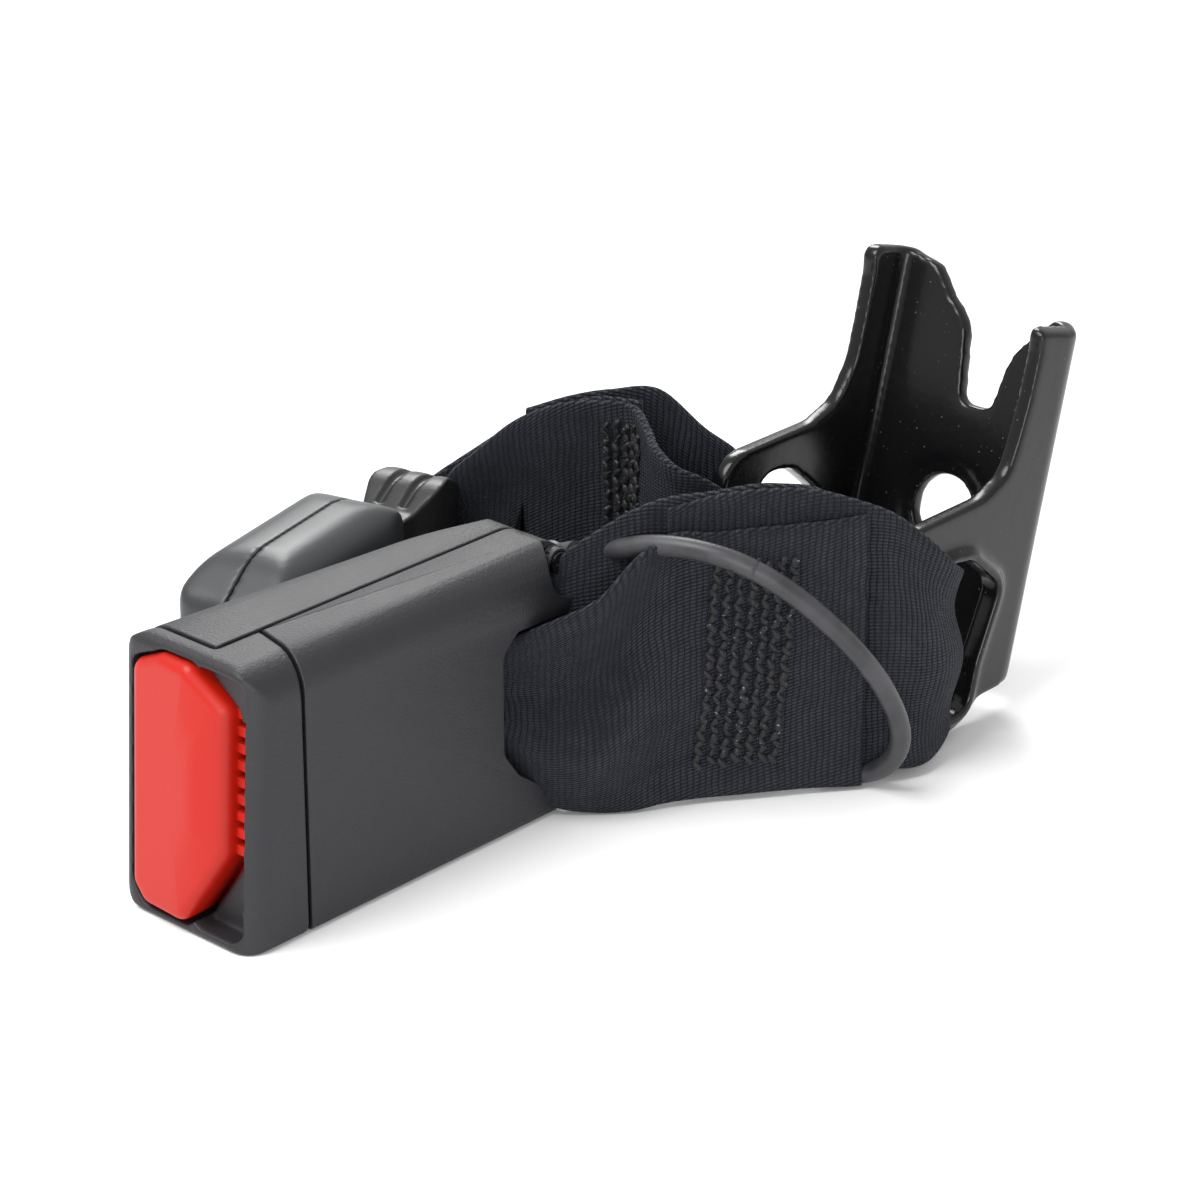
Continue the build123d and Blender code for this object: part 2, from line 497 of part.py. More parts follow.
def front_housing():
    u = FRONT
    beyond = u.length + 20
    tail = u.length - TAIL_STEP
    step = u.height / 2
    cut_low, cut_high = u.strap_low - 0.7, u.strap_high + 0.5
    view = [(-NOSE, 0), (tail, 0), (tail, step), (u.length, step), (u.length, u.height), (0, u.height)]
    outer = front_form(0, FRONT_EDGE, FAR_EDGE) & side(view, [1.2, 2, 0.3, 0.3, 8, 2], -1, u.depth + 5)
    outer &= plan(*front_plan(0, -20, u.length, 3.0), -1, u.height + 1)
    outer &= leaning([(0, 0), (u.length + 20, 0), (u.length + 20, u.depth), (0, u.depth)], [5, 1, 1, 4])
    back = u.wall + 0.2
    room = [(BEZEL, 0), (tail - back, 0), (tail - back, step), (u.length - back, step),
            (u.length - back, u.height), (BEZEL, u.height)]
    hollow = front_form(FRONT_WALL, FRONT_EDGE - 1.5, FAR_EDGE - 1.5) & side(room, [0.3, 2, 0.3, 0.3, 5, 0.3], 0, 40)
    solid = outer - hollow

    button_way = offset(outline(front_button_outline(), 2), BUTTON_GAP)
    way = Pos(-9, 0, 0) * extrude(Plane.YZ * button_way, u.block + u.button_travel + 10)
    slot = block((-9, GROOVE_FAR), (SLOT_FACE, u.roof), (u.middle - TONGUE / 2, u.middle + TONGUE / 2))
    pocket = end([(SLOT_FACE, BUTTON_RIM), (13, BUTTON_RIM), (13, u.height - BUTTON_RIM),
                  (SLOT_FACE, u.height - BUTTON_RIM)], 2.5, -9, 1.6)
    solid = solid - way - slot - pocket

    before = [(0, -1), (GROOVE_NEAR - SEAM, -1), (GROOVE_FAR - SEAM, FRONT_SEAM - SEAM), (0, FRONT_SEAM - SEAM)]
    after = [(GROOVE_NEAR + SEAM, -1), (beyond, -1), (beyond, FRONT_SEAM - SEAM),
             (GROOVE_FAR + SEAM, FRONT_SEAM - SEAM)]
    ring = block((-9, BEZEL - SEAM), (-5, 40), (-1, u.height + 5))
    bezel = solid & (ring + plan(before, 0.1, -1, u.height + 5))
    shell = solid & block((BEZEL + SEAM, beyond), (FRONT_SEAM + SEAM, 40), (-1, u.height + 5))
    cover = solid & plan(after, 0.1, -1, u.height + 5)

    mouth = u.length - 16.2
    throat = [(tail, 2.4), (beyond, 2.4), (beyond, cut_high + 12), (u.length + 0.6, cut_high + 8),
              (u.length - 2.5, cut_high - 0.4), (mouth, cut_high), (mouth - 3.2, cut_high - 3),
              (mouth - 3.2, cut_low + 4.5), (mouth, cut_low)]
    cover -= side(throat, [0.3, 0.3, 0.3, 2, 5, 2, 2, 3, 3], -5, FRONT_SEAM + 1)
    shell -= block((u.length - 6, beyond), (0, FRONT_SEAM + 2.5), (cut_low, cut_high))

    within = front_form(0.5, FRONT_EDGE, FAR_EDGE)
    rib = block((u.rib, u.rib + 1.6), (FRONT_SEAM + 1.5, u.depth), (0.5, u.height - 0.5))
    screw_x, screw_z = u.length - SCREW_IN, u.height - SCREW_DOWN
    shell += rib & within
    shell += rod((screw_x, FRONT_SEAM + SEAM, screw_z), "y", SCREW_BOSS, 7) & within
    cover -= rod((screw_x, -1, screw_z), "y", SCOOP, SCREW_SINK + 2.6)
    cover += rod((screw_x, SCREW_SINK, screw_z), "y", SCREW_BOSS, FRONT_SEAM - SEAM - SCREW_SINK)
    shank = rod((screw_x, 0, screw_z), "y", SCREW_SHANK, FRONT_SEAM + 5)
    cover = cover - shank - rod((screw_x, -1, screw_z), "y", SCREW_HEAD + 0.15, SCREW_SINK + 2)
    shell -= shank
    gland_z = u.height - GLAND_DOWN
    cover -= rod((u.length - 2.4, GLAND_Y, gland_z), "x", GLAND_RADIUS, 9)
    keep("front_bezel", bezel, u.place())
    keep("front_cover", cover, u.place())
    keep("front_shell", shell, u.place())

    screw = shank + rod((screw_x, SCREW_SINK - 0.4, screw_z), "y", SCREW_HEAD, 1.4)
    for wide, high in ((1.2, 0.25), (0.25, 1.2)):
        screw -= block((screw_x - wide, screw_x + wide), (0, SCREW_SINK + 0.4), (screw_z - high, screw_z + high))
    screw &= block((0, beyond), (SCREW_SINK - 0.4, FRONT_SEAM + 5), (0, u.height))
    keep("front_cover_screw", screw, u.place())
    gland = rod((u.length - 2.2, GLAND_Y, gland_z), "x", GLAND_RADIUS, 2.2)
    gland += rod((u.length, GLAND_Y, gland_z), "x", GLAND_RADIUS - 0.3, GLAND_REACH)
    gland += rod((u.length, GLAND_Y, gland_z), "x", GLAND_RADIUS + 0.6, 1.2)
    nose = gland_plane()
    elbow = nose * Pos(0, 0, GLAND_NOSE / 2) * Cylinder(GLAND_RADIUS - 0.3, GLAND_NOSE)
    elbow += nose * Sphere(GLAND_RADIUS - 0.3)
    keep("front_cable_gland", (u.place() * gland) + elbow)
    switch = block((u.frame_end - 9.5, u.frame_end - 0.5), (u.slide_low, u.slide_low + 4.4),
                   (u.guide_high - 9, u.guide_high))
    keep("front_switch", switch, u.place())


def front_button():
    u = FRONT
    face = end(front_button_outline(), 2, -3 - NOSE, u.block)
    ridge = 15.5
    low, high = BUTTON_RIM, u.height - BUTTON_RIM
    back = u.block + 5
    top_view = [(1.2, 40), (0.8, u.depth), (-1.2, ridge), (1.1, BUTTON_NEAR), (1.7, 0), (back, 0), (back, 40)]
    side_view = [(0.8 - NOSE, low), (-1.4 - NOSE, low + 4.5), (-1.4, high - 4.4), (0.8, high), (2, high + 6),
                 (back, high + 6), (back, low - 6), (2 - NOSE, low - 6)]
    body = face & leaning(top_view, [0.1, 3, 8, 1.2, 0.1, 0.1, 0.1])
    body &= side(side_view, [2, 5, 5, 2, 0.1, 0.1, 0.1, 0.1], 0, 40)
    body -= block((3, u.block), (0, u.roof + 0.2), (0, u.height))
    for step in range(-3, 4):
        z = u.middle + 3.2 * step
        body += block((3, u.block), (u.roof - 0.5, u.roof + 0.4), (z - 0.4, z + 0.4))
    for leg in button_legs(u):
        body += leg
    keep("front_button", body, u.place())


# ---------------------------------------------------------------- rear buckle
REAR_SEAM = 9.5
REAR_BUTTON = [(4.9, 4), (15.5, 4), (15.5, 29), (4.9, 29)]


def rear_form(inset):
    """Smooth pebble-like housing: a plan, a side and an end view, all rounded."""
    u = REAR
    i = inset
    back = u.length - i
    top = [(i, i), (u.length - 8.5, i), (back, 3.5 + i), (back, u.depth - 3.5 - i), (u.length - 15, u.depth - i),
           (i, u.depth - i)]
    look = [(i, i), (u.length - 6, i), (back, 5 + i), (back, u.height - 5 - i), (u.length - 10, u.height - i),
            (9, u.height - i), (i, u.height - 6 - i)]
    across = [(i, i), (u.depth - i, i), (u.depth - i, u.height - i), (i, u.height - i)]
    body = plan(top, [3, 12, 2.5, 2.5, 14, 3], i, u.height - i)
    body &= side(look, [3, 6, 4, 5, 16, 12, 4], i, u.depth - i)
    return body & end(across, 6.5 - i, i, u.length - i)


def rear_housing():
    u = REAR
    solid = rear_form(0) - rear_form(1.5)
    way = Pos(-5, 0, 0) * extrude(Plane.YZ * offset(outline(REAR_BUTTON, 2), BUTTON_GAP), 12)
    slot = block((-5, 6), (SLOT_FACE, u.roof), (u.middle - REAR_TONGUE / 2, u.middle + REAR_TONGUE / 2))
    mouth = block((u.length - 5, u.length + 5), (u.pin_y - 4.5, u.pin_y + 4.5), (u.strap_low - 0.5, u.strap_high + 0.5))
    solid = solid - way - slot - mouth
    cover = solid & block((-5, 60), (-5, REAR_SEAM - 0.1), (-5, 60))
    shell = solid & block((-5, 60), (REAR_SEAM + 0.1, 60), (-5, 60))
    rib = block((u.rib, u.rib + 1.4), (u.flange_top + GAP, u.depth - 1), (1, u.height - 1))
    shell += rib & rear_form(1)
    keep("rear_cover", cover, u.place())
    keep("rear_shell", shell, u.place())


def rear_button():
    u = REAR
    body = end(REAR_BUTTON, 2, -0.5, u.block)
    body -= block((2.5, u.block), (0, u.roof + 0.2), (0, 50))
    for leg in button_legs(u):
        body += leg
    keep("rear_button", body, u.place())


def rear_boot():
    """Soft ribbed sleeve over the webbing behind the housing; it narrows to a neck at the housing."""
    u = REAR
    start, stop = u.length + 0.2, u.length + 21
    middle = u.middle
    look = [(start, middle - 12.5), (start + 4, middle - 12.5), (start + 12, middle - 17), (stop, middle - 12),
            (stop, middle + 12), (start + 12, middle + 17), (start + 4, middle + 12.5), (start, middle + 12.5)]
    top = [(start, 4.5), (start + 4, 4.5), (start + 10, 2.5), (stop, 5.5), (stop, 13.5), (start + 10, 16.5),
           (start + 4, 14.5), (start, 14.5)]
    body = side(look, [1, 3, 9, 3, 3, 9, 3, 1], 0, 20) & plan(top, [1, 3, 6, 2, 2, 6, 3, 1], 0, 40)
    for y in (7.2, 11.8):
        groove = side([(start + 5, middle - 30), (stop - 1, middle - 30), (stop - 1, middle + 30),
                       (start + 5, middle + 30)], 1, y - 0.7, y + 0.7)
        core = side([(start, middle - 11.8), (start + 4, middle - 11.8), (start + 12, middle - 16), (stop, middle - 11),
                     (stop, middle + 11), (start + 12, middle + 16), (start + 4, middle + 11.8),
                     (start, middle + 11.8)], [1, 3, 9, 3, 3, 9, 3, 1], 0, 20)
        body -= groove - core
    body -= block((start - 1, stop + 1), (u.pin_y - 3.7, u.pin_y + 3.7), (u.strap_low - 0.5, u.strap_high + 0.5))
    keep("rear_boot", body, u.place())


# ---------------------------------------------------------------- cable
def cable():
    nose = gland_plane()
    points = [nose.origin + nose.z_dir * GLAND_NOSE] + [route_point(i) for i in range(len(CABLE_ROUTE))]
    print("cable starts", points[0])
    radii = []
    for a, b, c in zip(points, points[1:], points[2:]):
        turn = radians((b - a).get_angle(c - b))
        radii.append(0.45 * min((b - a).length, (c - b).length) / tan(turn / 2))
    path = FilletPolyline(*points, radius=radii)
    start = Plane(origin=path @ 0, z_dir=path % 0)
    section = start * RegularPolygon(CABLE / 2, CABLE_SIDES)
    tube = sweep(section, path=path)
    keep("front_cable", tube)
    print("cable", round(path.length, 1), "mm, volume over section times length",
          round(tube.volume / (section.area * path.length), 4))
    print("radii", [round(radius, 1) for radius in radii])
    ring = Cylinder(COIL_RADIUS + CABLE, 2 * CABLE) - Cylinder(COIL_RADIUS - CABLE, 2 * CABLE)
    keep("front_cable_coil", Pos(COIL_X, COIL_Y, above(CABLE)) * ring)
    plug_x, plug_y = COIL_X - 9.5, COIL_Y + 15.5
    plug = block((plug_x - PLUG_LENGTH / 2, plug_x + PLUG_LENGTH / 2), (plug_y - PLUG_WIDTH / 2, plug_y + PLUG_WIDTH / 2),
                 (above(0), above(PLUG_HEIGHT)))
    keep("front_cable_plug", plug)


bracket()
webbing_eyes()
strap("front_webbing", FRONT, FRONT_SWING, 0, WEBBING_LIFT)
strap("rear_webbing", REAR, REAR_SWING, 28.0, 0.5)
for unit, side_name in ((FRONT, "front"), (REAR, "rear")):
    frame(unit, side_name)
    latch(unit, side_name)
    ejector(unit, side_name)
    lock_slide(unit, side_name)
    button_springs(unit, side_name)
front_housing()
front_button()
rear_housing()
rear_button()
rear_boot()
cable()

os.makedirs("parts", exist_ok=True)
for name, shape in nodes.items():
    export_step(shape, f"parts/{name}.step")
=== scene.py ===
import math

import bmesh
import bpy
import numpy as np
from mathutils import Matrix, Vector


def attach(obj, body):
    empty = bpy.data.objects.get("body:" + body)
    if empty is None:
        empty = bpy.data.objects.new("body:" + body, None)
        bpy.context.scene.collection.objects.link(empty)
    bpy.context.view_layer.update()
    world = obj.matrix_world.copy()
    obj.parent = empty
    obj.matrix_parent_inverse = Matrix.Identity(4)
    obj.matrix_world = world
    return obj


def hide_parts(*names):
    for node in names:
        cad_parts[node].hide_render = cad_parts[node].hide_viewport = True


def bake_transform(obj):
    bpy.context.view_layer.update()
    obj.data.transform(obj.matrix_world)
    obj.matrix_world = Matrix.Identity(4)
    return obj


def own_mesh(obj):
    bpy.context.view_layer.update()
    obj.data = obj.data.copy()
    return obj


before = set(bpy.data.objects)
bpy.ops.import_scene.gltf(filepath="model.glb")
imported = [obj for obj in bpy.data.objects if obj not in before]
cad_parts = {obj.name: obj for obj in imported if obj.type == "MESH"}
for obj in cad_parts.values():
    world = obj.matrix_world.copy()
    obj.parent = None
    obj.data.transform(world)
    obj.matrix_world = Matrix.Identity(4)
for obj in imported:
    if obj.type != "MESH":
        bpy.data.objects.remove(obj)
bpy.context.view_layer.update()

MM = 0.001
FLOOR = -27.5                            # millimetres, as all sizes below unless they say otherwise
FRONT_PLACE = (-150.5, 9.3, 0.0)         # x, y and turn in degrees of each buckle's own frame
REAR_PLACE = (-117.9, 40.1, 14.0)


# ---------------------------------------------------------------- making objects
def new_object(name, data, finish=None):
    """An object for a mesh, camera or light, put in the scene; a mesh may get a finish as its only material."""
    if finish is not None:
        data.materials.clear()
        data.materials.append(FINISH[finish])
    made = bpy.data.objects.new(name, data)
    bpy.context.scene.collection.objects.link(made)
    return made


def edit(mesh, *steps):
    """Runs each step on the mesh as a bmesh, in turn, and writes the result back."""
    work = bmesh.new()
    work.from_mesh(mesh)
    for step in steps:
        step(work)
    work.to_mesh(mesh)
    work.free()


def merge_doubles(work):
    """Joins the points that a CAD mesh repeats along its edges."""
    bmesh.ops.remove_doubles(work, verts=work.verts, dist=2e-6)


def face_outward(work):
    """Turns the faces of each closed part outward."""
    bmesh.ops.recalc_face_normals(work, faces=work.faces)


def mesh_piece(name, vertices, faces, finish, smooth, weave=None):
    """A piece from vertices in millimetres and faces as lists; smooth has a flag for each face, and weave a
    cloth coordinate for each vertex."""
    mesh = bpy.data.meshes.new(name)
    mesh.from_pydata((vertices * MM).tolist(), [], faces)
    if weave is not None:
        layer = mesh.attributes.new("weave", "FLOAT_VECTOR", "POINT")
        layer.data.foreach_set("vector", weave.reshape(-1, 3).astype(np.float32).ravel())
    mesh.polygons.foreach_set("use_smooth", smooth)
    edit(mesh, face_outward)
    return new_object(name, mesh, finish)


# ---------------------------------------------------------------- camera and lights
def camera():
    """The main view: a long lens, aimed at the middle of the straps."""
    data = bpy.data.cameras.new("camera")
    data.lens = 120
    data.sensor_width = 36
    data.clip_start = 0.01
    eye = new_object("camera", data)
    eye.location = (-0.4968, -0.3751, 0.2593)
    target = Vector((-0.022, 0.060, -0.0275))
    eye.rotation_euler = (target - eye.location).to_track_quat("-Z", "Y").to_euler()
    bpy.context.scene.camera = eye


def soft_light(name, place, target, size, power):
    """A round area light of a size in metres and a power in watts, aimed at a target."""
    data = bpy.data.lights.new(name, "AREA")
    data.shape = "DISK"
    data.size = size
    data.energy = power
    lamp = new_object(name, data)
    lamp.location = place
    lamp.rotation_euler = (Vector(target) - lamp.location).to_track_quat("-Z", "Y").to_euler()


camera()


# ---------------------------------------------------------------- shader groups
class Nodes:
    """A small writer for node trees: each call adds one node and returns its output socket."""

    def __init__(self, tree):
        self.tree = tree

    def add(self, kind, *inputs, out=0, **settings):
        node = self.tree.nodes.new("ShaderNode" + kind)
        for key, value in settings.items():
            setattr(node, key, value)
        for i, value in enumerate(inputs):
            if value is None:
                continue
            if isinstance(value, bpy.types.NodeSocket):
                self.tree.links.new(value, node.inputs[i])
            else:
                node.inputs[i].default_value = value
        return node.outputs[out]

    def math(self, operation, *inputs):
        """One step of arithmetic on its inputs."""
        return self.add("Math", *inputs, operation=operation)

    def noise(self, vector, scale, detail=2.0, roughness=0.5):
        """Noise from 0 to 1, with scale in cells to a metre of the vector."""
        return self.add("TexNoise", vector, None, scale, detail, roughness, out="Fac")

    def ramp(self, value, low, high, at_low=0.0, at_high=1.0):
        """A straight ramp from at_low where value is low to at_high where it is high, level past both ends."""
        return self.add("MapRange", value, low, high, at_low, at_high)

    def mix(self, factor, first, second):
        """A colour part of the way from the first to the second."""
        return self.add("Mix", factor, *[None] * 5, first, second, out=2, data_type="RGBA")


def group(name, inputs, outputs):
    """An empty node group with named inputs (name, kind, default) and outputs (name, kind)."""
    tree = bpy.data.node_groups.new(name, "ShaderNodeTree")
    for label, kind, default in inputs:
        socket = tree.interface.new_socket(label, in_out="INPUT", socket_type="NodeSocket" + kind)
        if default is not None:
            socket.default_value = default
    for label, kind in outputs:
        tree.interface.new_socket(label, in_out="OUTPUT", socket_type="NodeSocket" + kind)
    start, stop = tree.nodes.new("NodeGroupInput"), tree.nodes.new("NodeGroupOutput")
    return tree, Nodes(tree), start.outputs, stop.inputs


def moulding_grain():
    """Spark-eroded mould texture: fine noise for the grain's height, and a broad noise for handling marks."""
    tree, n, given, made = group(
        "moulding_grain", [("Vector", "Vector", None), ("Grain", "Float", 2600.0)],
        [("Height", "Float"), ("Marks", "Float")])
    tree.links.new(n.noise(given["Vector"], given["Grain"], 3.0), made["Height"])
    tree.links.new(n.noise(given["Vector"], 45.0, 4.0, 0.6), made["Marks"])
    return tree


def edge_wear():
    """Mask of worn and dusty edges: how sharply the surface bends, broken up by noise."""
    tree, n, given, made = group(
        "edge_wear", [("Vector", "Vector", None), ("Scale", "Float", 300.0)], [("Wear", "Float")])
    geometry = tree.nodes.new("ShaderNodeNewGeometry")
    bend = n.ramp(geometry.outputs["Pointiness"], 0.52, 0.60)
    patch = n.ramp(n.noise(given["Vector"], given["Scale"], 5.0), 0.45, 0.65)
    tree.links.new(n.math("MULTIPLY", bend, patch), made["Wear"])
    return tree


def belt_weave():
    """Belt webbing in millimetres along (x) and across (y): ribs that cross the strap, each cut into short
    floats that step by half a float from rib to rib."""
    tree, n, given, made = group(
        "belt_weave", [("Weave", "Vector", None)],
        [("Height", "Float"), ("Shade", "Float"), ("Fuzz", "Float")])
    split = tree.nodes.new("ShaderNodeSeparateXYZ")
    tree.links.new(given["Weave"], split.inputs[0])
    along, across = split.outputs[0], split.outputs[1]
    drift = n.noise(given["Weave"], 0.12, 2.0)
    along = n.math("ADD", along, n.math("MULTIPLY", drift, 1.6))
    rib_count = n.math("DIVIDE", along, 1.05)
    rib = n.math("ABSOLUTE", n.math("SINE", n.math("MULTIPLY", rib_count, math.pi)))
    step = n.math("MULTIPLY", n.math("FLOOR", rib_count), 0.5)
    float_count = n.math("ADD", n.math("DIVIDE", across, 0.62), step)
    lean = n.math("MULTIPLY", n.math("FRACT", rib_count), 0.45)
    floats = n.math("ABSOLUTE", n.math("SINE", n.math("MULTIPLY", n.math("ADD", float_count, lean), math.pi)))
    height = n.math("MULTIPLY", n.math("POWER", rib, 0.6), n.math("ADD", n.math("MULTIPLY", floats, 0.75), 0.25))
    tree.links.new(height, made["Height"])
    tree.links.new(n.noise(given["Weave"], 0.35, 5.0), made["Shade"])
    tree.links.new(n.noise(given["Weave"], 9.0, 2.0), made["Fuzz"])
    return tree


GRAIN, WEAR, WEAVE = moulding_grain(), edge_wear(), belt_weave()


# ---------------------------------------------------------------- materials
def material(name, color, roughness, metallic=0.0, coat=0.0, sheen=0.0, specular=0.5):
    """An empty Principled material; returns it with its node writer, shader and the Object coordinates."""
    made = bpy.data.materials.new(name)
    made.use_nodes = True
    tree = made.node_tree
    shader = tree.nodes["Principled BSDF"]
    for label, value in (("Base Color", (*color, 1)), ("Roughness", roughness), ("Metallic", metallic),
                         ("Coat Weight", coat), ("Sheen Weight", sheen), ("Specular IOR Level", specular)):
        shader.inputs[label].default_value = value
    place = tree.nodes.new("ShaderNodeTexCoord").outputs["Object"]
    return made, Nodes(tree), shader, place


def use(n, tree, vector, **values):
    """Adds a node group on a vector, with its other inputs set by name; returns its outputs."""
    node = n.tree.nodes.new("ShaderNodeGroup")
    node.node_tree = tree
    n.tree.links.new(vector, node.inputs[0])
    for label, value in values.items():
        node.inputs[label].default_value = value
    return node.outputs


def bump(n, shader, height, strength, distance):
    """Relief from a height, over a distance in metres."""
    node = n.tree.nodes.new("ShaderNodeBump")
    node.inputs["Strength"].default_value = strength
    node.inputs["Distance"].default_value = distance
    n.tree.links.new(height, node.inputs["Height"])
    n.tree.links.new(node.outputs["Normal"], shader.inputs["Normal"])


def plastic(name, color, worn, roughness, grain, relief, specular=0.5):
    """Moulded plastic: grain, faint handling marks and edges that have been rubbed."""
    made, n, shader, place = material(name, color, roughness, specular=specular)
    texture = use(n, GRAIN, place, Grain=grain)
    wear = use(n, WEAR, place, Scale=260.0)["Wear"]
    marks = n.ramp(texture["Marks"], 0.35, 0.7)
    body = n.mix(n.math("MULTIPLY", marks, 0.2), (*color, 1), (*worn, 1))
    body = n.mix(n.math("MULTIPLY", wear, 0.3), body, (*[1.6 * c for c in worn], 1))
    n.tree.links.new(body, shader.inputs["Base Color"])
    dull = n.ramp(texture["Marks"], 0.3, 0.75, roughness - 0.02, roughness + 0.03)
    n.tree.links.new(dull, shader.inputs["Roughness"])
    bump(n, shader, texture["Height"], relief, 0.0002)
    return made


def webbing_material():
    """Dark belt cloth: a painted highlight on the tops of the threads and painted shade between them, faded
    unevenly.
    """
    made, n, shader, _ = material("belt_webbing", (0.006, 0.0065, 0.009), 0.75, sheen=0.12, specular=0.2)
    weave = n.tree.nodes.new("ShaderNodeAttribute")
    weave.attribute_name = "weave"
    cloth = use(n, WEAVE, weave.outputs["Vector"])
    # low is painted shade between the threads and high a painted highlight on their tops; the fade noise varies both
    # at random
    low = n.mix(n.ramp(cloth["Shade"], 0.35, 0.7), (0.0015, 0.0016, 0.0026, 1), (0.003, 0.0033, 0.0055, 1))
    high = n.mix(n.ramp(cloth["Shade"], 0.35, 0.7), (0.0105, 0.0112, 0.0158, 1), (0.030, 0.032, 0.043, 1))
    # painted light: the weave's height picks the painted highlight on the thread tops over the painted shade between
    # them
    body = n.mix(n.ramp(cloth["Height"], 0.4, 0.95), low, high)
    n.tree.links.new(body, shader.inputs["Base Color"])
    n.tree.links.new(n.ramp(cloth["Fuzz"], 0.3, 0.7, 0.6, 0.85), shader.inputs["Roughness"])
    shader.inputs["Sheen Tint"].default_value = (0.5, 0.55, 0.7, 1)
    both = n.math("ADD", cloth["Height"], n.math("MULTIPLY", cloth["Fuzz"], 0.35))
    bump(n, shader, both, 1.0, 0.0006)
    return made


def thread_material():
    """Dark twisted thread with a few pale painted glints of highlight."""
    made, n, shader, place = material("stitching_thread", (0.006, 0.0062, 0.008), 0.5, sheen=0.05, specular=0.35)
    twist = n.noise(place, 2500.0, 2.0)
    # painted highlight: small pale glints painted into the thread's colour
    painted_glint = n.ramp(n.noise(place, 1300.0, 3.0), 0.66, 0.74)
    n.tree.links.new(n.mix(painted_glint, (0.006, 0.0062, 0.008, 1), (0.2, 0.21, 0.23, 1)), shader.inputs["Base Color"])
    bump(n, shader, twist, 0.6, 0.0002)
    return made


def paint_material():
    """Black dip paint: glossy with a slight orange peel, thin at the edges, with dust specks."""
    made, n, shader, place = material("bracket_paint", (0.004, 0.004, 0.0045), 0.25, coat=0.1, specular=0.3)
    wear = use(n, WEAR, place, Scale=420.0)["Wear"]
    peel = n.noise(place, 420.0, 2.0)
    specks = n.ramp(n.noise(place, 1700.0, 1.0), 0.74, 0.80)
    body = n.mix(n.math("MULTIPLY", wear, 0.2), (0.004, 0.004, 0.0045, 1), (0.05, 0.05, 0.05, 1))
    body = n.mix(n.math("MULTIPLY", specks, 0.5), body, (0.22, 0.2, 0.17, 1))
    n.tree.links.new(body, shader.inputs["Base Color"])
    n.tree.links.new(n.ramp(n.noise(place, 60.0, 4.0), 0.3, 0.7, 0.2, 0.27), shader.inputs["Roughness"])
    shader.inputs["Coat Roughness"].default_value = 0.12
    bump(n, shader, peel, 0.12, 0.0003)
    return made


def metal(name, color, roughness):
    """Plated or oiled steel with fine drawn scratches along X."""
    made, n, shader, place = material(name, color, roughness, metallic=1.0)
    stretch = n.tree.nodes.new("ShaderNodeMapping")
    n.tree.links.new(place, stretch.inputs["Vector"])
    stretch.inputs["Scale"].default_value = (1, 14, 14)
    lines = n.noise(stretch.outputs[0], 260.0, 3.0)
    n.tree.links.new(n.ramp(lines, 0.3, 0.7, roughness - 0.08, roughness + 0.12), shader.inputs["Roughness"])
    stain = n.ramp(n.noise(place, 130.0, 4.0), 0.4, 0.75)
    n.tree.links.new(n.mix(stain, (*color, 1), (*[0.6 * c for c in color], 1)), shader.inputs["Base Color"])
    bump(n, shader, lines, 0.15, 0.0002)
    return made


def jacket_material():
    """The cable's dull black jacket, a little blotchy."""
    made, n, shader, place = material("cable_jacket", (0.03, 0.03, 0.033), 0.42, specular=0.5)
    marks = n.noise(place, 160.0, 4.0)
    body = n.mix(n.ramp(marks, 0.35, 0.7), (0.022, 0.022, 0.025, 1), (0.05, 0.05, 0.055, 1))
    n.tree.links.new(body, shader.inputs["Base Color"])
    n.tree.links.new(n.ramp(marks, 0.3, 0.75, 0.36, 0.55), shader.inputs["Roughness"])
    bump(n, shader, n.noise(place, 1500.0, 2.0), 0.12, 0.0002)
    return made


def floor_material():
    """A pale floor that is almost one colour."""
    made, n, shader, place = material("studio_floor", (0.86, 0.86, 0.865), 0.75)
    body = n.mix(n.noise(place, 3.0, 2.0), (0.85, 0.85, 0.855, 1), (0.88, 0.88, 0.885, 1))
    n.tree.links.new(body, shader.inputs["Base Color"])
    return made


# a plastic's colour, worn colour, roughness, grain in cells to a metre and relief
FINISH = {
    "textured_housing": plastic("textured_housing", (0.0105, 0.0108, 0.0132), (0.016, 0.0163, 0.019), 0.52,
                                2600.0, 0.5),
    "smooth_housing": plastic("smooth_housing", (0.028, 0.030, 0.032), (0.04, 0.042, 0.044), 0.42, 900.0, 0.12),
    "red_button": plastic("red_button", (0.43, 0.009, 0.002), (0.45, 0.012, 0.004), 0.42, 1800.0, 0.1, 0.35),
    "ribbed_boot": plastic("ribbed_boot", (0.010, 0.010, 0.011), (0.02, 0.02, 0.022), 0.4, 1200.0, 0.12),
    "natural_plastic": plastic("natural_plastic", (0.55, 0.54, 0.5), (0.6, 0.58, 0.53), 0.45, 1500.0, 0.1),
    "webbing": webbing_material(),
    "thread": thread_material(),
    "paint": paint_material(),
    "plated_steel": metal("plated_steel", (0.5, 0.5, 0.5), 0.34),
    "spring_steel": metal("spring_steel", (0.42, 0.42, 0.44), 0.3),
    "screw_steel": metal("screw_steel", (0.08, 0.08, 0.085), 0.35),
    "jacket": jacket_material(),
}

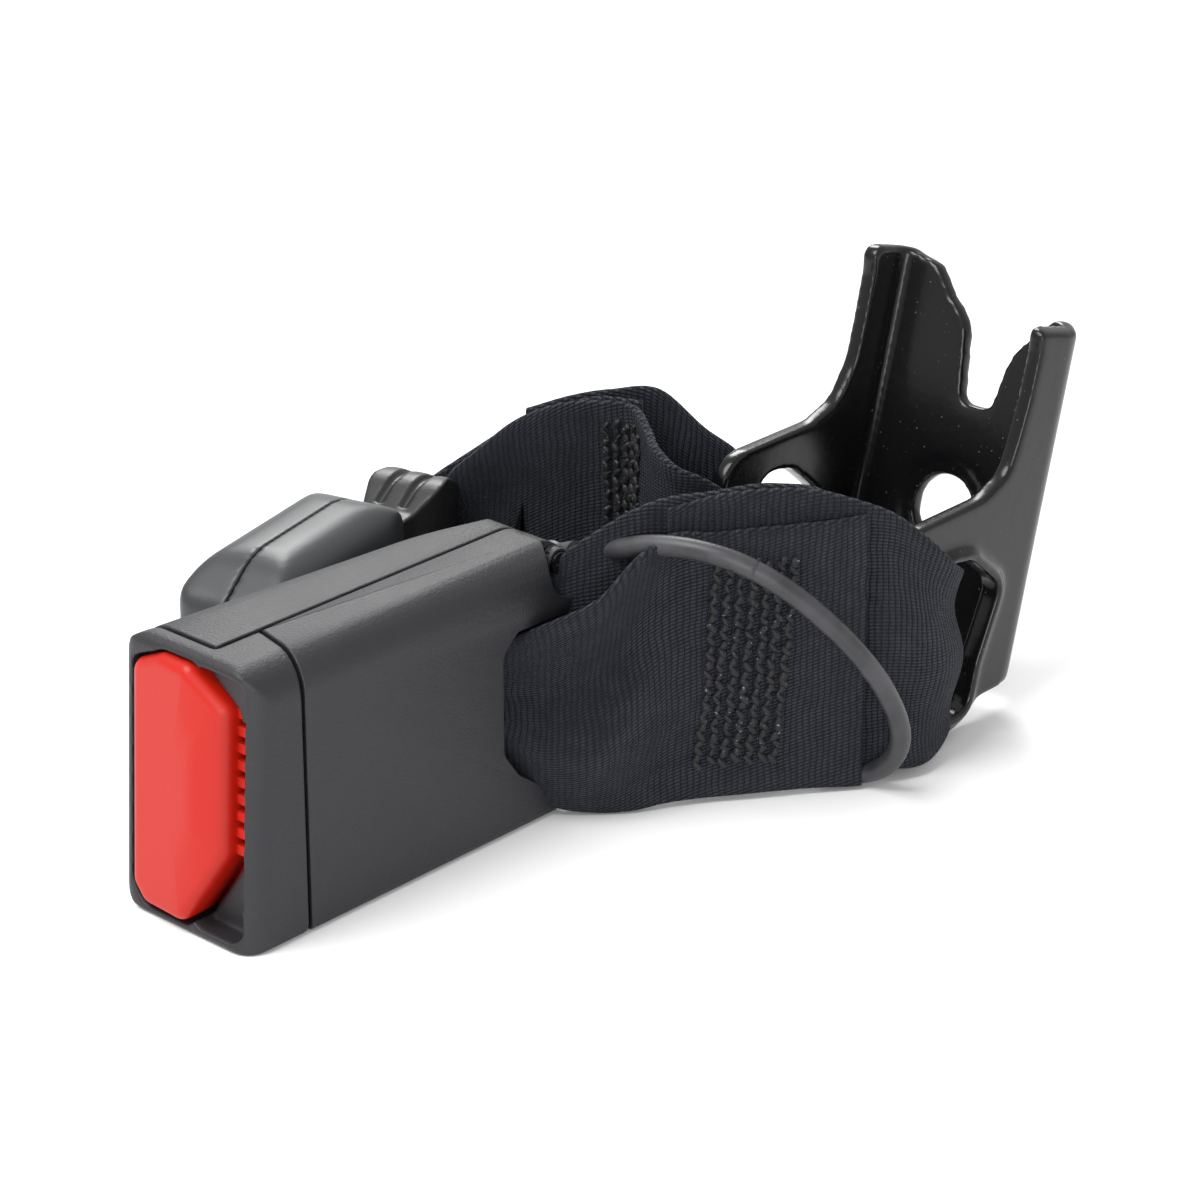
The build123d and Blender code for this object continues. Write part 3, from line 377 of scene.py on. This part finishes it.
NODE_FINISH = {
    "paint": ["bracket"],
    "textured_housing": ["front_bezel", "front_cover", "front_shell"],
    "smooth_housing": ["rear_cover", "rear_shell"],
    "red_button": ["front_button", "rear_button"],
    "ribbed_boot": ["rear_boot"],
    "natural_plastic": ["front_ejector", "front_lock_slide", "front_switch", "rear_ejector", "rear_lock_slide",
                        "front_cable_plug"],
    "plated_steel": ["front_frame", "front_latch", "front_webbing_pin", "rear_frame", "rear_latch",
                     "rear_webbing_pin"],
    "spring_steel": ["front_button_springs", "front_ejector_spring", "rear_button_springs", "rear_ejector_spring"],
    "screw_steel": ["front_cover_screw"],
    "jacket": ["front_cable", "front_cable_coil", "front_cable_gland"],
    "webbing": ["front_webbing", "front_webbing_eye", "rear_webbing", "rear_webbing_eye"],
}
for finish, names in NODE_FINISH.items():
    for node in names:
        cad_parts[node].data.materials.clear()
        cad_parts[node].data.materials.append(FINISH[finish])


# ---------------------------------------------------------------- rounded copies of the moulded and stamped parts
def softened(name, node, finish, width, angle=28.0):
    """A copy of a CAD part with its doubles merged, its flats made single faces and every edge sharper than the
    angle rounded to width millimetres."""
    def weigh_edges(work):
        bmesh.ops.dissolve_limit(work, angle_limit=math.radians(0.6), verts=work.verts, edges=work.edges)
        weight = work.edges.layers.float.new("bevel_weight_edge")
        for edge in work.edges:
            if len(edge.link_faces) == 2 and edge.calc_face_angle(0) > math.radians(angle):
                edge[weight] = 1.0

    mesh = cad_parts[node].data.copy()
    mesh.name = name
    edit(mesh, merge_doubles, weigh_edges)
    mesh.polygons.foreach_set("use_smooth", [True] * len(mesh.polygons))
    made = new_object(name, mesh, finish)
    bevel = made.modifiers.new("rounded_edges", "BEVEL")
    bevel.limit_method = "WEIGHT"
    bevel.width = width * MM
    bevel.segments = 3
    bevel.use_clamp_overlap = False
    bevel.harden_normals = True
    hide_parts(node)
    return made


def even_cells(name, node, voxel):
    """A copy of a CAD part's mesh, merged and laid out again as even cells of voxel millimetres."""
    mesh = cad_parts[node].data.copy()
    edit(mesh, merge_doubles)
    holder = new_object(name, mesh)
    cells = holder.modifiers.new("cells", "REMESH")
    cells.mode = "VOXEL"
    cells.voxel_size = voxel * MM
    made = bpy.data.meshes.new_from_object(holder.evaluated_get(bpy.context.evaluated_depsgraph_get()))
    bpy.data.objects.remove(holder)
    return made


def moulded(name, node, finish, voxel, rounds, share, reshape=None):
    """A part in even cells, smoothed: each round moves a point half way to the mean of its neighbours, times
    share(points), from 0 where it stays to 1. reshape then moves the points."""
    made = even_cells(name, node, voxel)
    count = len(made.vertices)
    points, edges = np.empty(count * 3, np.float32), np.empty(len(made.edges) * 2, np.int32)
    made.vertices.foreach_get("co", points)
    made.edges.foreach_get("vertices", edges)
    points, edges = points.reshape(-1, 3).astype(float) / MM, edges.reshape(-1, 2)
    ends = np.concatenate([edges, edges[:, ::-1]])
    degree = np.maximum(np.bincount(ends[:, 0], minlength=count), 1)[:, None]
    weight = 0.5 * share(points)[:, None]
    for _ in range(rounds):
        mean = np.stack([np.bincount(ends[:, 0], points[ends[:, 1], k], count) for k in range(3)], 1) / degree
        points = points + weight * (mean - points)
    if reshape is not None:
        points = reshape(points)
    made.vertices.foreach_set("co", (points * MM).astype(np.float32).ravel())
    made.polygons.foreach_set("use_smooth", [True] * len(made.polygons))
    piece = new_object(name, made, finish)
    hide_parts(node)
    return piece


def front_of_button(points):
    """Full smoothing on the face that the finger presses, little behind it."""
    return np.clip((-144.5 - points[:, 0]) / 2.0, 0.08, 1)


def behind_face(points):
    """The front of the button's block is pushed back flat, behind the face that is made apart."""
    return np.stack([np.maximum(points[:, 0], -145.6), points[:, 1], points[:, 2]], 1)


REAR_SEAM = 9.5                          # the joint of the rear buckle's two halves, across it
REAR_ACROSS = (-0.2419, 0.9703)          # the direction across the rear buckle


def away_from_seam(points):
    """Almost no smoothing at the joint of the rear buckle's two halves, full smoothing 2.5 mm from it."""
    across = REAR_ACROSS[0] * (points[:, 0] - REAR_PLACE[0]) + REAR_ACROSS[1] * (points[:, 1] - REAR_PLACE[1])
    return np.clip((abs(across - REAR_SEAM) - 0.4) / 2.0, 0.03, 1)


def everywhere(points):
    """Full smoothing at every point."""
    return np.ones(len(points))


for name in ("front_cover", "front_shell"):
    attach(softened(name + "_rounded", name, "textured_housing", 0.3), "front_buckle")
for name, body, finish, slot, voxel, rounds, share in (
        ("bracket", "bracket", "paint", "bracket_paint", 0.5, 10, everywhere),
        ("front_bezel", "front_buckle", "textured_housing", "housing", 0.3, 9, everywhere),
        ("front_button", "front_button", "red_button", "button_red", 0.3, 6, front_of_button),
        ("rear_cover", "rear_buckle", "smooth_housing", "housing_smooth", 0.4, 40, away_from_seam),
        ("rear_shell", "rear_buckle", "smooth_housing", "housing_smooth", 0.4, 40, away_from_seam),
        ("rear_button", "rear_button", "red_button", "button_red", 0.3, 8, everywhere),
        ("rear_boot", "rear_buckle", "ribbed_boot", "boot", 0.3, 8, everywhere)):
    reshape = behind_face if name == "front_button" else None
    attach(moulded(name + "_moulded", name, finish, voxel, rounds, share, reshape), body)


# ---------------------------------------------------------------- surfaces from arrays
def surface(name, points, finish, weave=None):
    """A closed piece from a grid of points (rows, columns, 3): neighbours in the grid share faces, each row
    closes on itself, and one face closes each end row."""
    rows, columns = points.shape[:2]
    index = np.arange(rows * columns).reshape(rows, columns)
    around = np.hstack([index, index[:, :1]])
    quads = np.stack([around[:-1, :-1], around[1:, :-1], around[1:, 1:], around[:-1, 1:]], -1).reshape(-1, 4)
    faces = quads.tolist() + [index[0].tolist(), index[-1, ::-1].tolist()]
    return mesh_piece(name, points.reshape(-1, 3), faces, finish, [True] * len(faces), weave)


def rounded(corners, radii, arc=12):
    """A closed outline: each corner is an arc of its radius between its two sides. Gives points and normals."""
    corners, points, normals = np.asarray(corners, float), [], []
    for i, radius in enumerate(radii):
        back = corners[i - 1] - corners[i]
        ahead = corners[(i + 1) % len(corners)] - corners[i]
        back, ahead = back / np.linalg.norm(back), ahead / np.linalg.norm(ahead)
        half = math.acos(np.clip(back @ ahead, -1, 1)) / 2
        centre = corners[i] + (back + ahead) / np.linalg.norm(back + ahead) * radius / math.sin(half)
        first = corners[i] + back * radius / math.tan(half) - centre
        last = corners[i] + ahead * radius / math.tan(half) - centre
        t = np.linspace(0, 1, arc)[:, None]
        spread = first * (1 - t) + last * t
        spread /= np.linalg.norm(spread, axis=1, keepdims=True)
        points.append(centre + spread * radius)
        normals.append(spread)
    return np.concatenate(points), np.concatenate(normals)


# y and height above the floor of the corners, and the radius of each
BUTTON_OUTLINE = [(22.8, 1.9), (25.6, 4.8), (25.7, 40.4), (19.4, 43.2), (13.4, 43.2), (6.6, 37.4), (6.6, 14.2),
                  (13.6, 1.9)]
BUTTON_RADII = [2.6, 2.6, 2.6, 3.4, 2.8, 2.6, 2.6, 2.8]


def lean(height):
    """How far the buckle's face stands forward at a height above the floor: most at the foot, none at the top."""
    return 2.8 * (1 - height / 45)


def button_face(edge=1.7):
    """The pressed face: its outline in y and height is carried back as a wall, turns over a quarter circle as
    wide as edge, and shrinks to the middle. Its depth is the softened maximum of two planes that meet in a
    ridge, and it leans forward towards the foot."""
    points, normals = rounded(BUTTON_OUTLINE, BUTTON_RADII)
    turn = np.linspace(0, np.pi / 2, 8)
    inset = np.concatenate([[0, 0], edge * (1 - np.cos(turn))])
    drop = np.concatenate([[7.0, 3.5], edge * (1 - np.sin(turn))])
    rim = points[None] - normals[None] * inset[:, None, None]
    middle = rim[-1].mean(axis=0)
    share = np.linspace(1, 0.02, 22)[1:, None, None]
    face = middle + (rim[-1][None] - middle) * share
    flat = np.concatenate([rim, face])
    drop = np.concatenate([drop, np.zeros(len(face))])
    y, z = flat[..., 0], flat[..., 1]
    far, near = -0.5 - (25.8 - y) * 0.055, -1.35 + (11.9 - y) * 0.5
    depth = 0.3 * np.logaddexp(far / 0.3, near / 0.3) + drop[:, None] - lean(z)
    return np.stack([depth + FRONT_PLACE[0], y + FRONT_PLACE[1], z + FLOOR], 2)


def ribs_beside_button(count=9):
    """Low square ribs one above the other in the slot beside the pressed face: count blocks at even heights."""
    z = np.linspace(15.0, 36.6, count)[:, None] + np.array([-0.75, 0.75])
    x, y = np.array([-147.0, -145.0]), np.array([14.3, 16.6])
    corners = np.broadcast_arrays(x[None, :, None, None], y[None, None, :, None], z[:, None, None, :] + FLOOR)
    box = np.stack(corners, -1)
    box[..., 0] -= lean(box[..., 2] - FLOOR)
    index = np.arange(count * 8).reshape(count, 2, 2, 2)
    sides = [index[:, 0], index[:, 1], index[:, :, 0], index[:, :, 1], index[..., 0], index[..., 1]]
    quads = np.concatenate([np.stack([q[:, 0, 0], q[:, 0, 1], q[:, 1, 1], q[:, 1, 0]], 1) for q in sides])
    return box.reshape(-1, 3), quads


def through(knots, step):
    """Points on a smooth curve through the knots: cubic pieces whose slope at a knot is that of the line
    between its two neighbours, at equal steps of the first two columns' length."""
    knots = np.asarray(knots, float)
    gaps = np.maximum(np.linalg.norm(np.diff(knots[:, :2], axis=0), axis=1), 0.5)
    where = np.concatenate([[0], np.cumsum(gaps)])
    slope = np.gradient(knots, where, axis=0)
    at = np.linspace(0, where[-1], int(where[-1] / step) + 1)
    i = np.clip(np.searchsorted(where, at, side="right") - 1, 0, len(gaps) - 1)
    h = gaps[i][:, None]
    t = ((at - where[i]) / gaps[i])[:, None]
    a, b = knots[i], knots[i + 1]
    return ((2 * t**3 - 3 * t**2 + 1) * a + (t**3 - 2 * t**2 + t) * h * slope[i]
            + (3 * t**2 - 2 * t**3) * b + (t**3 - t**2) * h * slope[i + 1])


def travelled_along(line):
    """The length of a line of points up to each point."""
    return np.concatenate([[0], np.cumsum(np.linalg.norm(np.diff(line, axis=0), axis=1))])


def wander(count, seed, length):
    """Smooth random numbers from -1 to 1: white noise averaged over a bell as wide as length."""
    noise = np.random.default_rng(seed).normal(size=count + 6 * length)
    bell = np.exp(-0.5 * (np.arange(-3 * length, 3 * length + 1) / length) ** 2)
    line = np.convolve(noise, bell / np.sqrt((bell**2).sum()), mode="same")[3 * length:3 * length + count]
    return np.clip(line / 2, -1, 1)


class Strap:
    """A strap laid on its edge. Knots give plan x and y, the heights of both edges, the depth of its folds and
    their shift; a point is the plan curve moved along the plan normal by a wave over the height."""

    def __init__(self, knots, waves, seed, thickness=1.25, step=0.5, across=26):
        self.knots = np.asarray(knots, float)
        line = through(knots, step)
        plan = line[:, :2]
        tangent = np.gradient(plan, axis=0)
        tangent /= np.linalg.norm(tangent, axis=1, keepdims=True)
        normal = np.stack([tangent[:, 1], -tangent[:, 0]], 1)
        v = np.linspace(0, 1, across)
        count = len(line)
        low = line[:, 2] + 0.25 * wander(count, seed, 7)
        high = line[:, 3] + 0.35 * wander(count, seed + 1, 7)
        wave = line[:, 4:5] * np.sin(2 * np.pi * (waves * v[None] + line[:, 5:6]))
        rumple = 0.22 * np.outer(wander(count, seed + 2, 12), np.sin(np.pi * (2 * v + 0.3)))
        rumple += 0.16 * np.outer(wander(count, seed + 3, 8), np.sin(np.pi * (5 * v + 0.8)))
        edge = 0.18 * (np.exp(-((v - 0.03) / 0.03) ** 2) + np.exp(-((v - 0.97) / 0.03) ** 2))
        centre = np.empty((count, across, 3))
        centre[..., :2] = plan[:, None] + normal[:, None] * (wave + rumple)[..., None]
        centre[..., 2] = low[:, None] + v[None] * (high - low)[:, None]
        n = np.cross(np.gradient(centre, axis=0), np.gradient(centre, axis=1))
        n /= np.linalg.norm(n, axis=2, keepdims=True)
        half = thickness / 2 * (1 + edge)[None, :, None]
        self.centre, self.normal, self.half = centre, n, half
        self.length = travelled_along(centre[:, across // 2])

    def at_knot(self, number):
        """The length along the strap at a knot, or a share of the way past it."""
        plan = self.knots[:, :2]
        where = travelled_along(plan)
        share = np.interp(number, np.arange(len(plan)), where) / where[-1]
        return float(np.interp(share * (len(self.length) - 1), np.arange(len(self.length)), self.length))

    def mesh(self, name, width=47.0):
        """A closed slab: one face, a rounded edge, the other face and the other edge, all round the strap."""
        c, n, h = self.centre, self.normal, self.half
        bulge = 0.35
        top, low = c[:, -1:] + np.array([0, 0, bulge]), c[:, :1] - np.array([0, 0, bulge])
        ring = np.concatenate([c + n * h, top, (c - n * h)[:, ::-1], low], axis=1)
        v = np.linspace(0, width, c.shape[1])
        across = np.concatenate([v, [width + 0.4], v[::-1], [-0.4]])
        weave = np.zeros((*ring.shape[:2], 3))
        weave[..., 0] = self.length[:, None]
        weave[..., 1] = across[None]
        return surface(name, ring, "webbing", weave)

    def spot(self, along, v, lift):
        """Points over the strap at a length along it and a share of its width, lifted off its middle plane."""
        row = np.interp(along, self.length, np.arange(len(self.length)))
        column = np.clip(v, 0, 1) * (self.centre.shape[1] - 1)
        i = np.clip(row.astype(int), 0, len(self.length) - 2)
        j = np.clip(column.astype(int), 0, self.centre.shape[1] - 2)
        a, b = (row - i)[..., None], (column - j)[..., None]

        def between(field):
            """A field of the strap's grid at these places, straight between its four nearest points."""
            return ((1 - a) * (1 - b) * field[i, j] + a * (1 - b) * field[i + 1, j]
                    + (1 - a) * b * field[i, j + 1] + a * b * field[i + 1, j + 1])
        normal = between(self.normal)
        return between(self.centre) + normal * np.asarray(lift)[..., None], normal


def tubes(name, lines, radius, finish, sides=8, tangent=None, side=(0.31, 0.17, 0.93)):
    """Round tubes along many lines (tube, point, 3): rings at right angles to the line, held up by a fixed
    side vector, with the radius given for each point."""
    lines = np.asarray(lines, float)
    count, points = lines.shape[:2]
    tangent = np.gradient(lines, axis=1) if tangent is None else np.asarray(tangent, float)
    tangent /= np.maximum(np.linalg.norm(tangent, axis=2, keepdims=True), 1e-9)
    first = np.cross(tangent, np.array(side))
    first /= np.linalg.norm(first, axis=2, keepdims=True)
    second = np.cross(tangent, first)
    angle = np.linspace(0, 2 * np.pi, sides, endpoint=False)
    radius = np.broadcast_to(np.asarray(radius, float), (count, points))[..., None, None]
    spoke = first[:, :, None] * np.cos(angle)[:, None] + second[:, :, None] * np.sin(angle)[:, None]
    ring = lines[:, :, None] + radius * spoke
    index = np.arange(count * points * sides).reshape(count, points, sides)
    around = np.concatenate([index, index[..., :1]], axis=2)
    quads = np.stack([around[:, :-1, :-1], around[:, 1:, :-1], around[:, 1:, 1:], around[:, :-1, 1:]], -1)
    quads = quads.reshape(-1, 4)
    faces = quads.tolist() + index[:, 0].tolist() + index[:, -1, ::-1].tolist()
    smooth = [True] * len(quads) + [False] * (2 * count)
    return mesh_piece(name, ring.reshape(-1, 3), faces, finish, smooth)


# ---------------------------------------------------------------- springs
WIRE = 0.6                               # diameter
# name, node, joint, body, the unit's place, start, length, y, heights, radius, travel
SPRINGS = [
    ("front_button", "front_button_springs", "front_button_press", "front_buckle", FRONT_PLACE,
     9.0, 25.0, 17.0, (14.0, 34.0), 2.1, 5.0),
    ("front_ejector", "front_ejector_spring", "front_ejector_push", "front_buckle", FRONT_PLACE,
     33.0, 14.0, 4.0, (24.0,), 1.3, 8.0),
    ("rear_button", "rear_button_springs", "rear_button_press", "rear_buckle", REAR_PLACE,
     6.0, 21.5, 14.2, (12.0, 28.0), 1.5, 4.0),
    ("rear_ejector", "rear_ejector_spring", "rear_ejector_push", "rear_buckle", REAR_PLACE,
     24.0, 9.1, 4.0, (20.0,), 1.3, 5.0)]


def helix(start, length, y, height, radius, turns=7):
    """A line that turns evenly round an axis along x, with its last half turn at each end wound close."""
    t = np.linspace(0, 1, turns * 14 + 1)
    along = start + WIRE / 2 + (length - WIRE) * (t - 0.07 * np.sin(2 * np.pi * t) / np.pi)
    angle = 2 * np.pi * turns * t
    return np.stack([along, y + radius * np.cos(angle), height + FLOOR + radius * np.sin(angle)], 1)


for name, node, joint, body, (x0, y0, turn), start, length, y, heights, radius, travel in SPRINGS:
    cos, sin = math.cos(math.radians(turn)), math.sin(math.radians(turn))
    lines = np.stack([helix(start, length, y, height, radius) for height in heights])
    lines[..., 0], lines[..., 1] = (x0 + cos * lines[..., 0] - sin * lines[..., 1],
                                    y0 + sin * lines[..., 0] + cos * lines[..., 1])
    coil = tubes(name + "_coils", lines, WIRE / 2, "spring_steel", 8, side=(cos, sin, 0))
    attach(coil, body)
    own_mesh(coil)
    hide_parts(node)


# ---------------------------------------------------------------- webbing
# x, y, lower edge, upper edge, depth of folds, shift of folds
FRONT_KNOTS = [
    (-48.4, -20.5, -26.5, 19.7, 0.2, 0), (-55, -15.6, -26.3, 19, 0.2, 0), (-61.5, -10.8, -26.3, 18.5, 0.3, 0),
    (-68, -6, -26.5, 18.7, 0.4, 0.05), (-74.5, -2.4, -26.5, 19.3, 0.8, 0.12), (-80, -0.4, -27, 17.3, 1.6, 0.2),
    (-85, 3, -26.9, 11.1, 2.2, 0.28), (-90.4, 8.6, -25.1, 6.9, 1.8, 0.3), (-96, 13.6, -18, 4.5, 0.8, 0.3),
    (-99.4, 15.4, -16.9, 5.9, 0, 0.3), (-100.2, 18, -16.9, 5.9, 0, 0.3), (-98.2, 20.6, -16.9, 5.9, 0, 0.3),
    (-94.8, 20.4, -17.1, 5.9, 0.3, 0.3), (-89, 15.4, -22.5, 9.5, 1.4, 0.3), (-81, 8, -25.9, 17.5, 1.4, 0.25),
    (-73, 1.6, -23.1, 22.9, 0.6, 0.1), (-66.5, -3.2, -22.9, 24.1, 0.2, 0), (-58, -9.4, -22.9, 24.3, 0.2, 0),
    (-51.2, -13.6, -22.9, 22.5, 0.3, 0), (-43, -14, -23.1, 13.5, 0.9, 0.1), (-36, -13.8, -22.7, 6.5, 1.2, 0.1),
    (-31, -13.9, -22.1, 4.5, 1, 0.1), (-27.4, -15.4, -22.1, 4.3, 0.8, 0.1), (-26.5, -18.5, -22.1, 4.3, 0.8, 0.1),
    (-27.6, -22.2, -22.3, 4.7, 0.8, 0.1), (-32, -24.4, -24.1, 7.5, 1, 0.1), (-38, -24.9, -25.5, 13.3, 1.1, 0.05),
    (-43.5, -22.4, -24.9, 18.5, 0.8, 0), (-49.6, -17.4, -23.5, 22.1, 0.3, 0), (-56, -12.4, -23.1, 23.9, 0.2, 0),
    (-64, -6.6, -22.9, 24.3, 0.2, 0), (-72.4, -0.4, -22.7, 22.7, 0.3, 0)]
REAR_KNOTS = [
    (-47.4, 53.4, -26.3, 17.5, 0.3, 0.3), (-43.4, 47.6, -26.7, 19.9, 0.5, 0.3), (-37.6, 42.6, -26.9, 21.1, 0.5, 0.2),
    (-32.4, 37.4, -26.9, 21.1, 0.5, 0.1), (-28.2, 30.6, -25.9, 14.8, 0.8, 0), (-25.2, 25, -23.5, 10.2, 1, 0),
    (-24.4, 20.4, -21.9, 4.5, 0.9, 0), (-24.4, 16.4, -21.9, 4.1, 0.8, 0), (-27.2, 14.2, -21.9, 4.3, 0.8, 0),
    (-32.6, 13.6, -23.1, 5.9, 0.8, 0), (-40.4, 14, -25.1, 10.9, 0.9, 0), (-46.6, 15.2, -26.3, 15.5, 0.9, 0),
    (-49.2, 18.2, -26.7, 17.1, 0.8, 0), (-48.2, 23, -26.8, 18.3, 0.6, 0), (-44.2, 29.4, -26.8, 19.7, 0.4, 0),
    (-41.2, 35.6, -26.8, 21.3, 0.3, 0), (-43.2, 41.2, -26.8, 21.4, 0.6, 0.2), (-46.8, 47, -26.8, 20.3, 0.8, 0.3),
    (-50, 53, -26.7, 16.5, 0.9, 0.3), (-53.4, 59.2, -24.9, 10.1, 0.9, 0.3), (-56.4, 63.8, -19.9, 5.1, 0.5, 0.3),
    (-60.6, 63.6, -18.1, 3.1, 0.2, 0.3), (-70, 61.2, -17.9, 2.9, 0, 0.3), (-80.6, 56.4, -17.9, 2.9, 0, 0.3),
    (-84.6, 57.8, -17.9, 2.9, 0, 0.3), (-84.2, 61.2, -17.9, 2.9, 0, 0.3), (-80.4, 62, -17.9, 2.9, 0, 0.3),
    (-70, 63.6, -17.9, 2.9, 0, 0.3), (-60, 66.2, -18.1, 3.1, 0.2, 0.3), (-54, 64.6, -20.1, 5.9, 0.5, 0.3),
    (-50.6, 58.2, -24.9, 11.9, 0.8, 0.3), (-46.4, 50.4, -26.1, 16.9, 0.7, 0.3), (-41.4, 43.4, -26.3, 20.1, 0.4, 0.2),
    (-37.4, 36.4, -26.3, 20.3, 0.3, 0.1)]

pressed_face = surface("front_button_face", button_face(), "red_button")
rib_points, rib_faces = ribs_beside_button()
button_ribs = mesh_piece("front_button_ribs", rib_points, rib_faces.tolist(), "red_button",
                         [False] * len(rib_faces))
for piece in (pressed_face, button_ribs):
    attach(piece, "front_button")

front_strap = Strap(FRONT_KNOTS, 1.5, 11)
rear_strap = Strap(REAR_KNOTS, 1.5, 23)
front_loop = front_strap.mesh("front_webbing_loop")
rear_loop = rear_strap.mesh("rear_webbing_loop")


def stitch_block(name, strap, start, stop, low, high, columns, rows, slant, side, seed):
    """Rows of heavy stitches on a strap's face: each is a short arch that starts and ends under the cloth,
    and the columns run across the strap with a slant."""
    dice = np.random.default_rng(seed)
    column, row = np.meshgrid(np.arange(columns), np.arange(rows), indexing="ij")
    column, row = column.ravel(), row.ravel()
    share = (row + 0.5 * (column % 2)) / rows
    v = low + (high - low) * share + dice.normal(0, 0.003, len(share))
    along = start + (stop - start) * (column + 0.5) / columns + slant * (share - 0.5)
    along = along + dice.normal(0, 0.12, len(share))
    t = np.linspace(-1, 1, 7)
    reach_v = 0.58 * (high - low) / rows
    reach_along = 0.55 * (1 - 2 * (row % 2)) + dice.normal(0, 0.1, len(share))
    arch = np.sqrt(np.clip(1 - t**2, 0, 1))
    lift = side * (0.45 + (0.55 + 0.12 * dice.normal(size=len(share)))[:, None] * arch[None])
    points, _ = strap.spot(along[:, None] + reach_along[:, None] * t[None], v[:, None] + reach_v * t[None], lift)
    radius = 0.56 * (0.5 + 0.5 * arch)[None] * (1 + 0.13 * dice.normal(size=len(share)))[:, None]
    return tubes(name, points, np.clip(radius, 0.18, 0.72), "thread")


REAR_BLOCK = [rear_strap.at_knot(i) for i in (14.2, 15.8)]
front_stitches = stitch_block("front_stitches", front_strap, 12.0, 26.5, 0.13, 0.90, 7, 26, -3.0, -1, 5)
rear_stitches = stitch_block("rear_stitches", rear_strap, *REAR_BLOCK, 0.2, 0.95, 5, 24, 1.5, -1, 6)

for piece in (front_loop, front_stitches):
    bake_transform(piece)
for piece in (rear_loop, rear_stitches):
    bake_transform(piece)
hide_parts("front_webbing", "front_webbing_eye")
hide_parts("rear_webbing", "rear_webbing_eye")


# ---------------------------------------------------------------- cable
CABLE = 3.3                              # diameter
LEAD_LENGTH = 33.0                       # the length of the part between the buckle and the strap
OVERLAP = 12                             # points over which the run grows out of the lead's end
CABLE_ROUTE = [
    (-77.34, 14.2, 12.21), (-77.9, 5.4, 15.8), (-76.9, -0.2, 18), (-74.8, -7, 18.7), (-71.3, -14, 17.3),
    (-66.5, -20, 12.8), (-61.5, -24, 6.7), (-57.1, -26.6, 0.8), (-51.8, -27.8, -6.7), (-47.6, -28.2, -15.5),
    (-46.6, -25.6, -21.8), (-47, -19.9, -25.85), (-50, -13, -25.85),
    (-53.5, -6, -25.85), (-56.2, 1.5, -25.85), (-56.6, 9.5, -25.85), (-55.2, 17.7, -25.85)]
COIL_CENTRE, COIL_RADIUS = np.array([-65.0, 19.5]), 10.0


def coil_points():
    """Four turns as two rings side by side on the floor and two on top of them: the angle grows evenly, and
    the radius and height pass from one ring to the next over an eighth of a turn."""
    outer, inner = COIL_RADIUS + CABLE / 2, COIL_RADIUS - CABLE / 2
    angle = np.radians(15.0 + 22.5 * np.arange(0, 63))
    turn = (angle - angle[0]) / (2 * np.pi)
    radius = np.interp(turn, [0, 0.9, 1.1, 2.9, 3.1, 4], [outer, outer, inner, inner, outer, outer])
    height = np.interp(turn, [0, 1.85, 2.1, 4], [0, 0, 1, 1]) * CABLE * 0.98 - 25.85
    out = radius / math.cos(math.radians(11.25))
    return np.stack([COIL_CENTRE[0] + out * np.cos(angle), COIL_CENTRE[1] + out * np.sin(angle), height], 1)


def smooth_line(points):
    """The NURBS curve with these control points, read back as a line of points in millimetres."""
    curve = bpy.data.curves.new("route", "CURVE")
    curve.dimensions = "3D"
    curve.resolution_u = 12
    spline = curve.splines.new("NURBS")
    spline.points.add(len(points) - 1)
    spline.points.foreach_set("co", np.hstack([points, np.ones((len(points), 1))]).astype(np.float32).ravel())
    spline.order_u = 3
    spline.use_endpoint_u = True
    holder = bpy.data.objects.new("route", curve)
    line = bpy.data.meshes.new_from_object(holder)
    found = np.empty(len(line.vertices) * 3, np.float32)
    line.vertices.foreach_get("co", found)
    bpy.data.objects.remove(holder)
    bpy.data.meshes.remove(line)
    return found.reshape(-1, 3).astype(float)


route = smooth_line(np.vstack([CABLE_ROUTE, coil_points()]))
split = int(np.argmin(abs(travelled_along(route) - LEAD_LENGTH)))
heading = np.gradient(route, axis=0)
lead, run = route[:split + 1], route[split - 2:]
run_radius = np.full(len(run), CABLE / 2)
run_radius[:OVERLAP] *= np.interp(np.arange(OVERLAP), [3, OVERLAP], [0.98, 1])


cable_lead = tubes("cable_lead", lead[None], CABLE / 2, "jacket", 20, heading[None, :split + 1])
cable_run = tubes("cable_run", run[None], run_radius, "jacket", 20, heading[None, split - 2:])
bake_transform(cable_lead)
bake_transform(cable_run)
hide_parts("front_cable")
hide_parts("front_cable_coil")


# ---------------------------------------------------------------- floor and light
def studio():
    """The floor, three soft lights and an even pale sky."""
    bpy.ops.mesh.primitive_plane_add(size=6, location=(0, 0, FLOOR * MM))
    floor = bpy.context.object
    floor.name = "studio_floor"
    floor.data.materials.append(floor_material())
    soft_light("key", (-0.55, 0.15, 0.95), (-0.06, 0.02, 0.0), 0.7, 11)
    soft_light("fill", (-0.9, -0.75, 0.35), (-0.08, 0.0, 0.0), 0.6, 5)
    soft_light("rim", (0.45, 0.55, 0.6), (-0.03, 0.0, 0.0), 0.4, 5)
    world = bpy.data.worlds.new("studio")
    bpy.context.scene.world = world
    world.use_nodes = True
    sky = world.node_tree.nodes["Background"]
    sky.inputs["Color"].default_value = (1, 1, 1, 1)
    sky.inputs["Strength"].default_value = 0.75
    bpy.context.scene.view_settings.view_transform = "Standard"


studio()
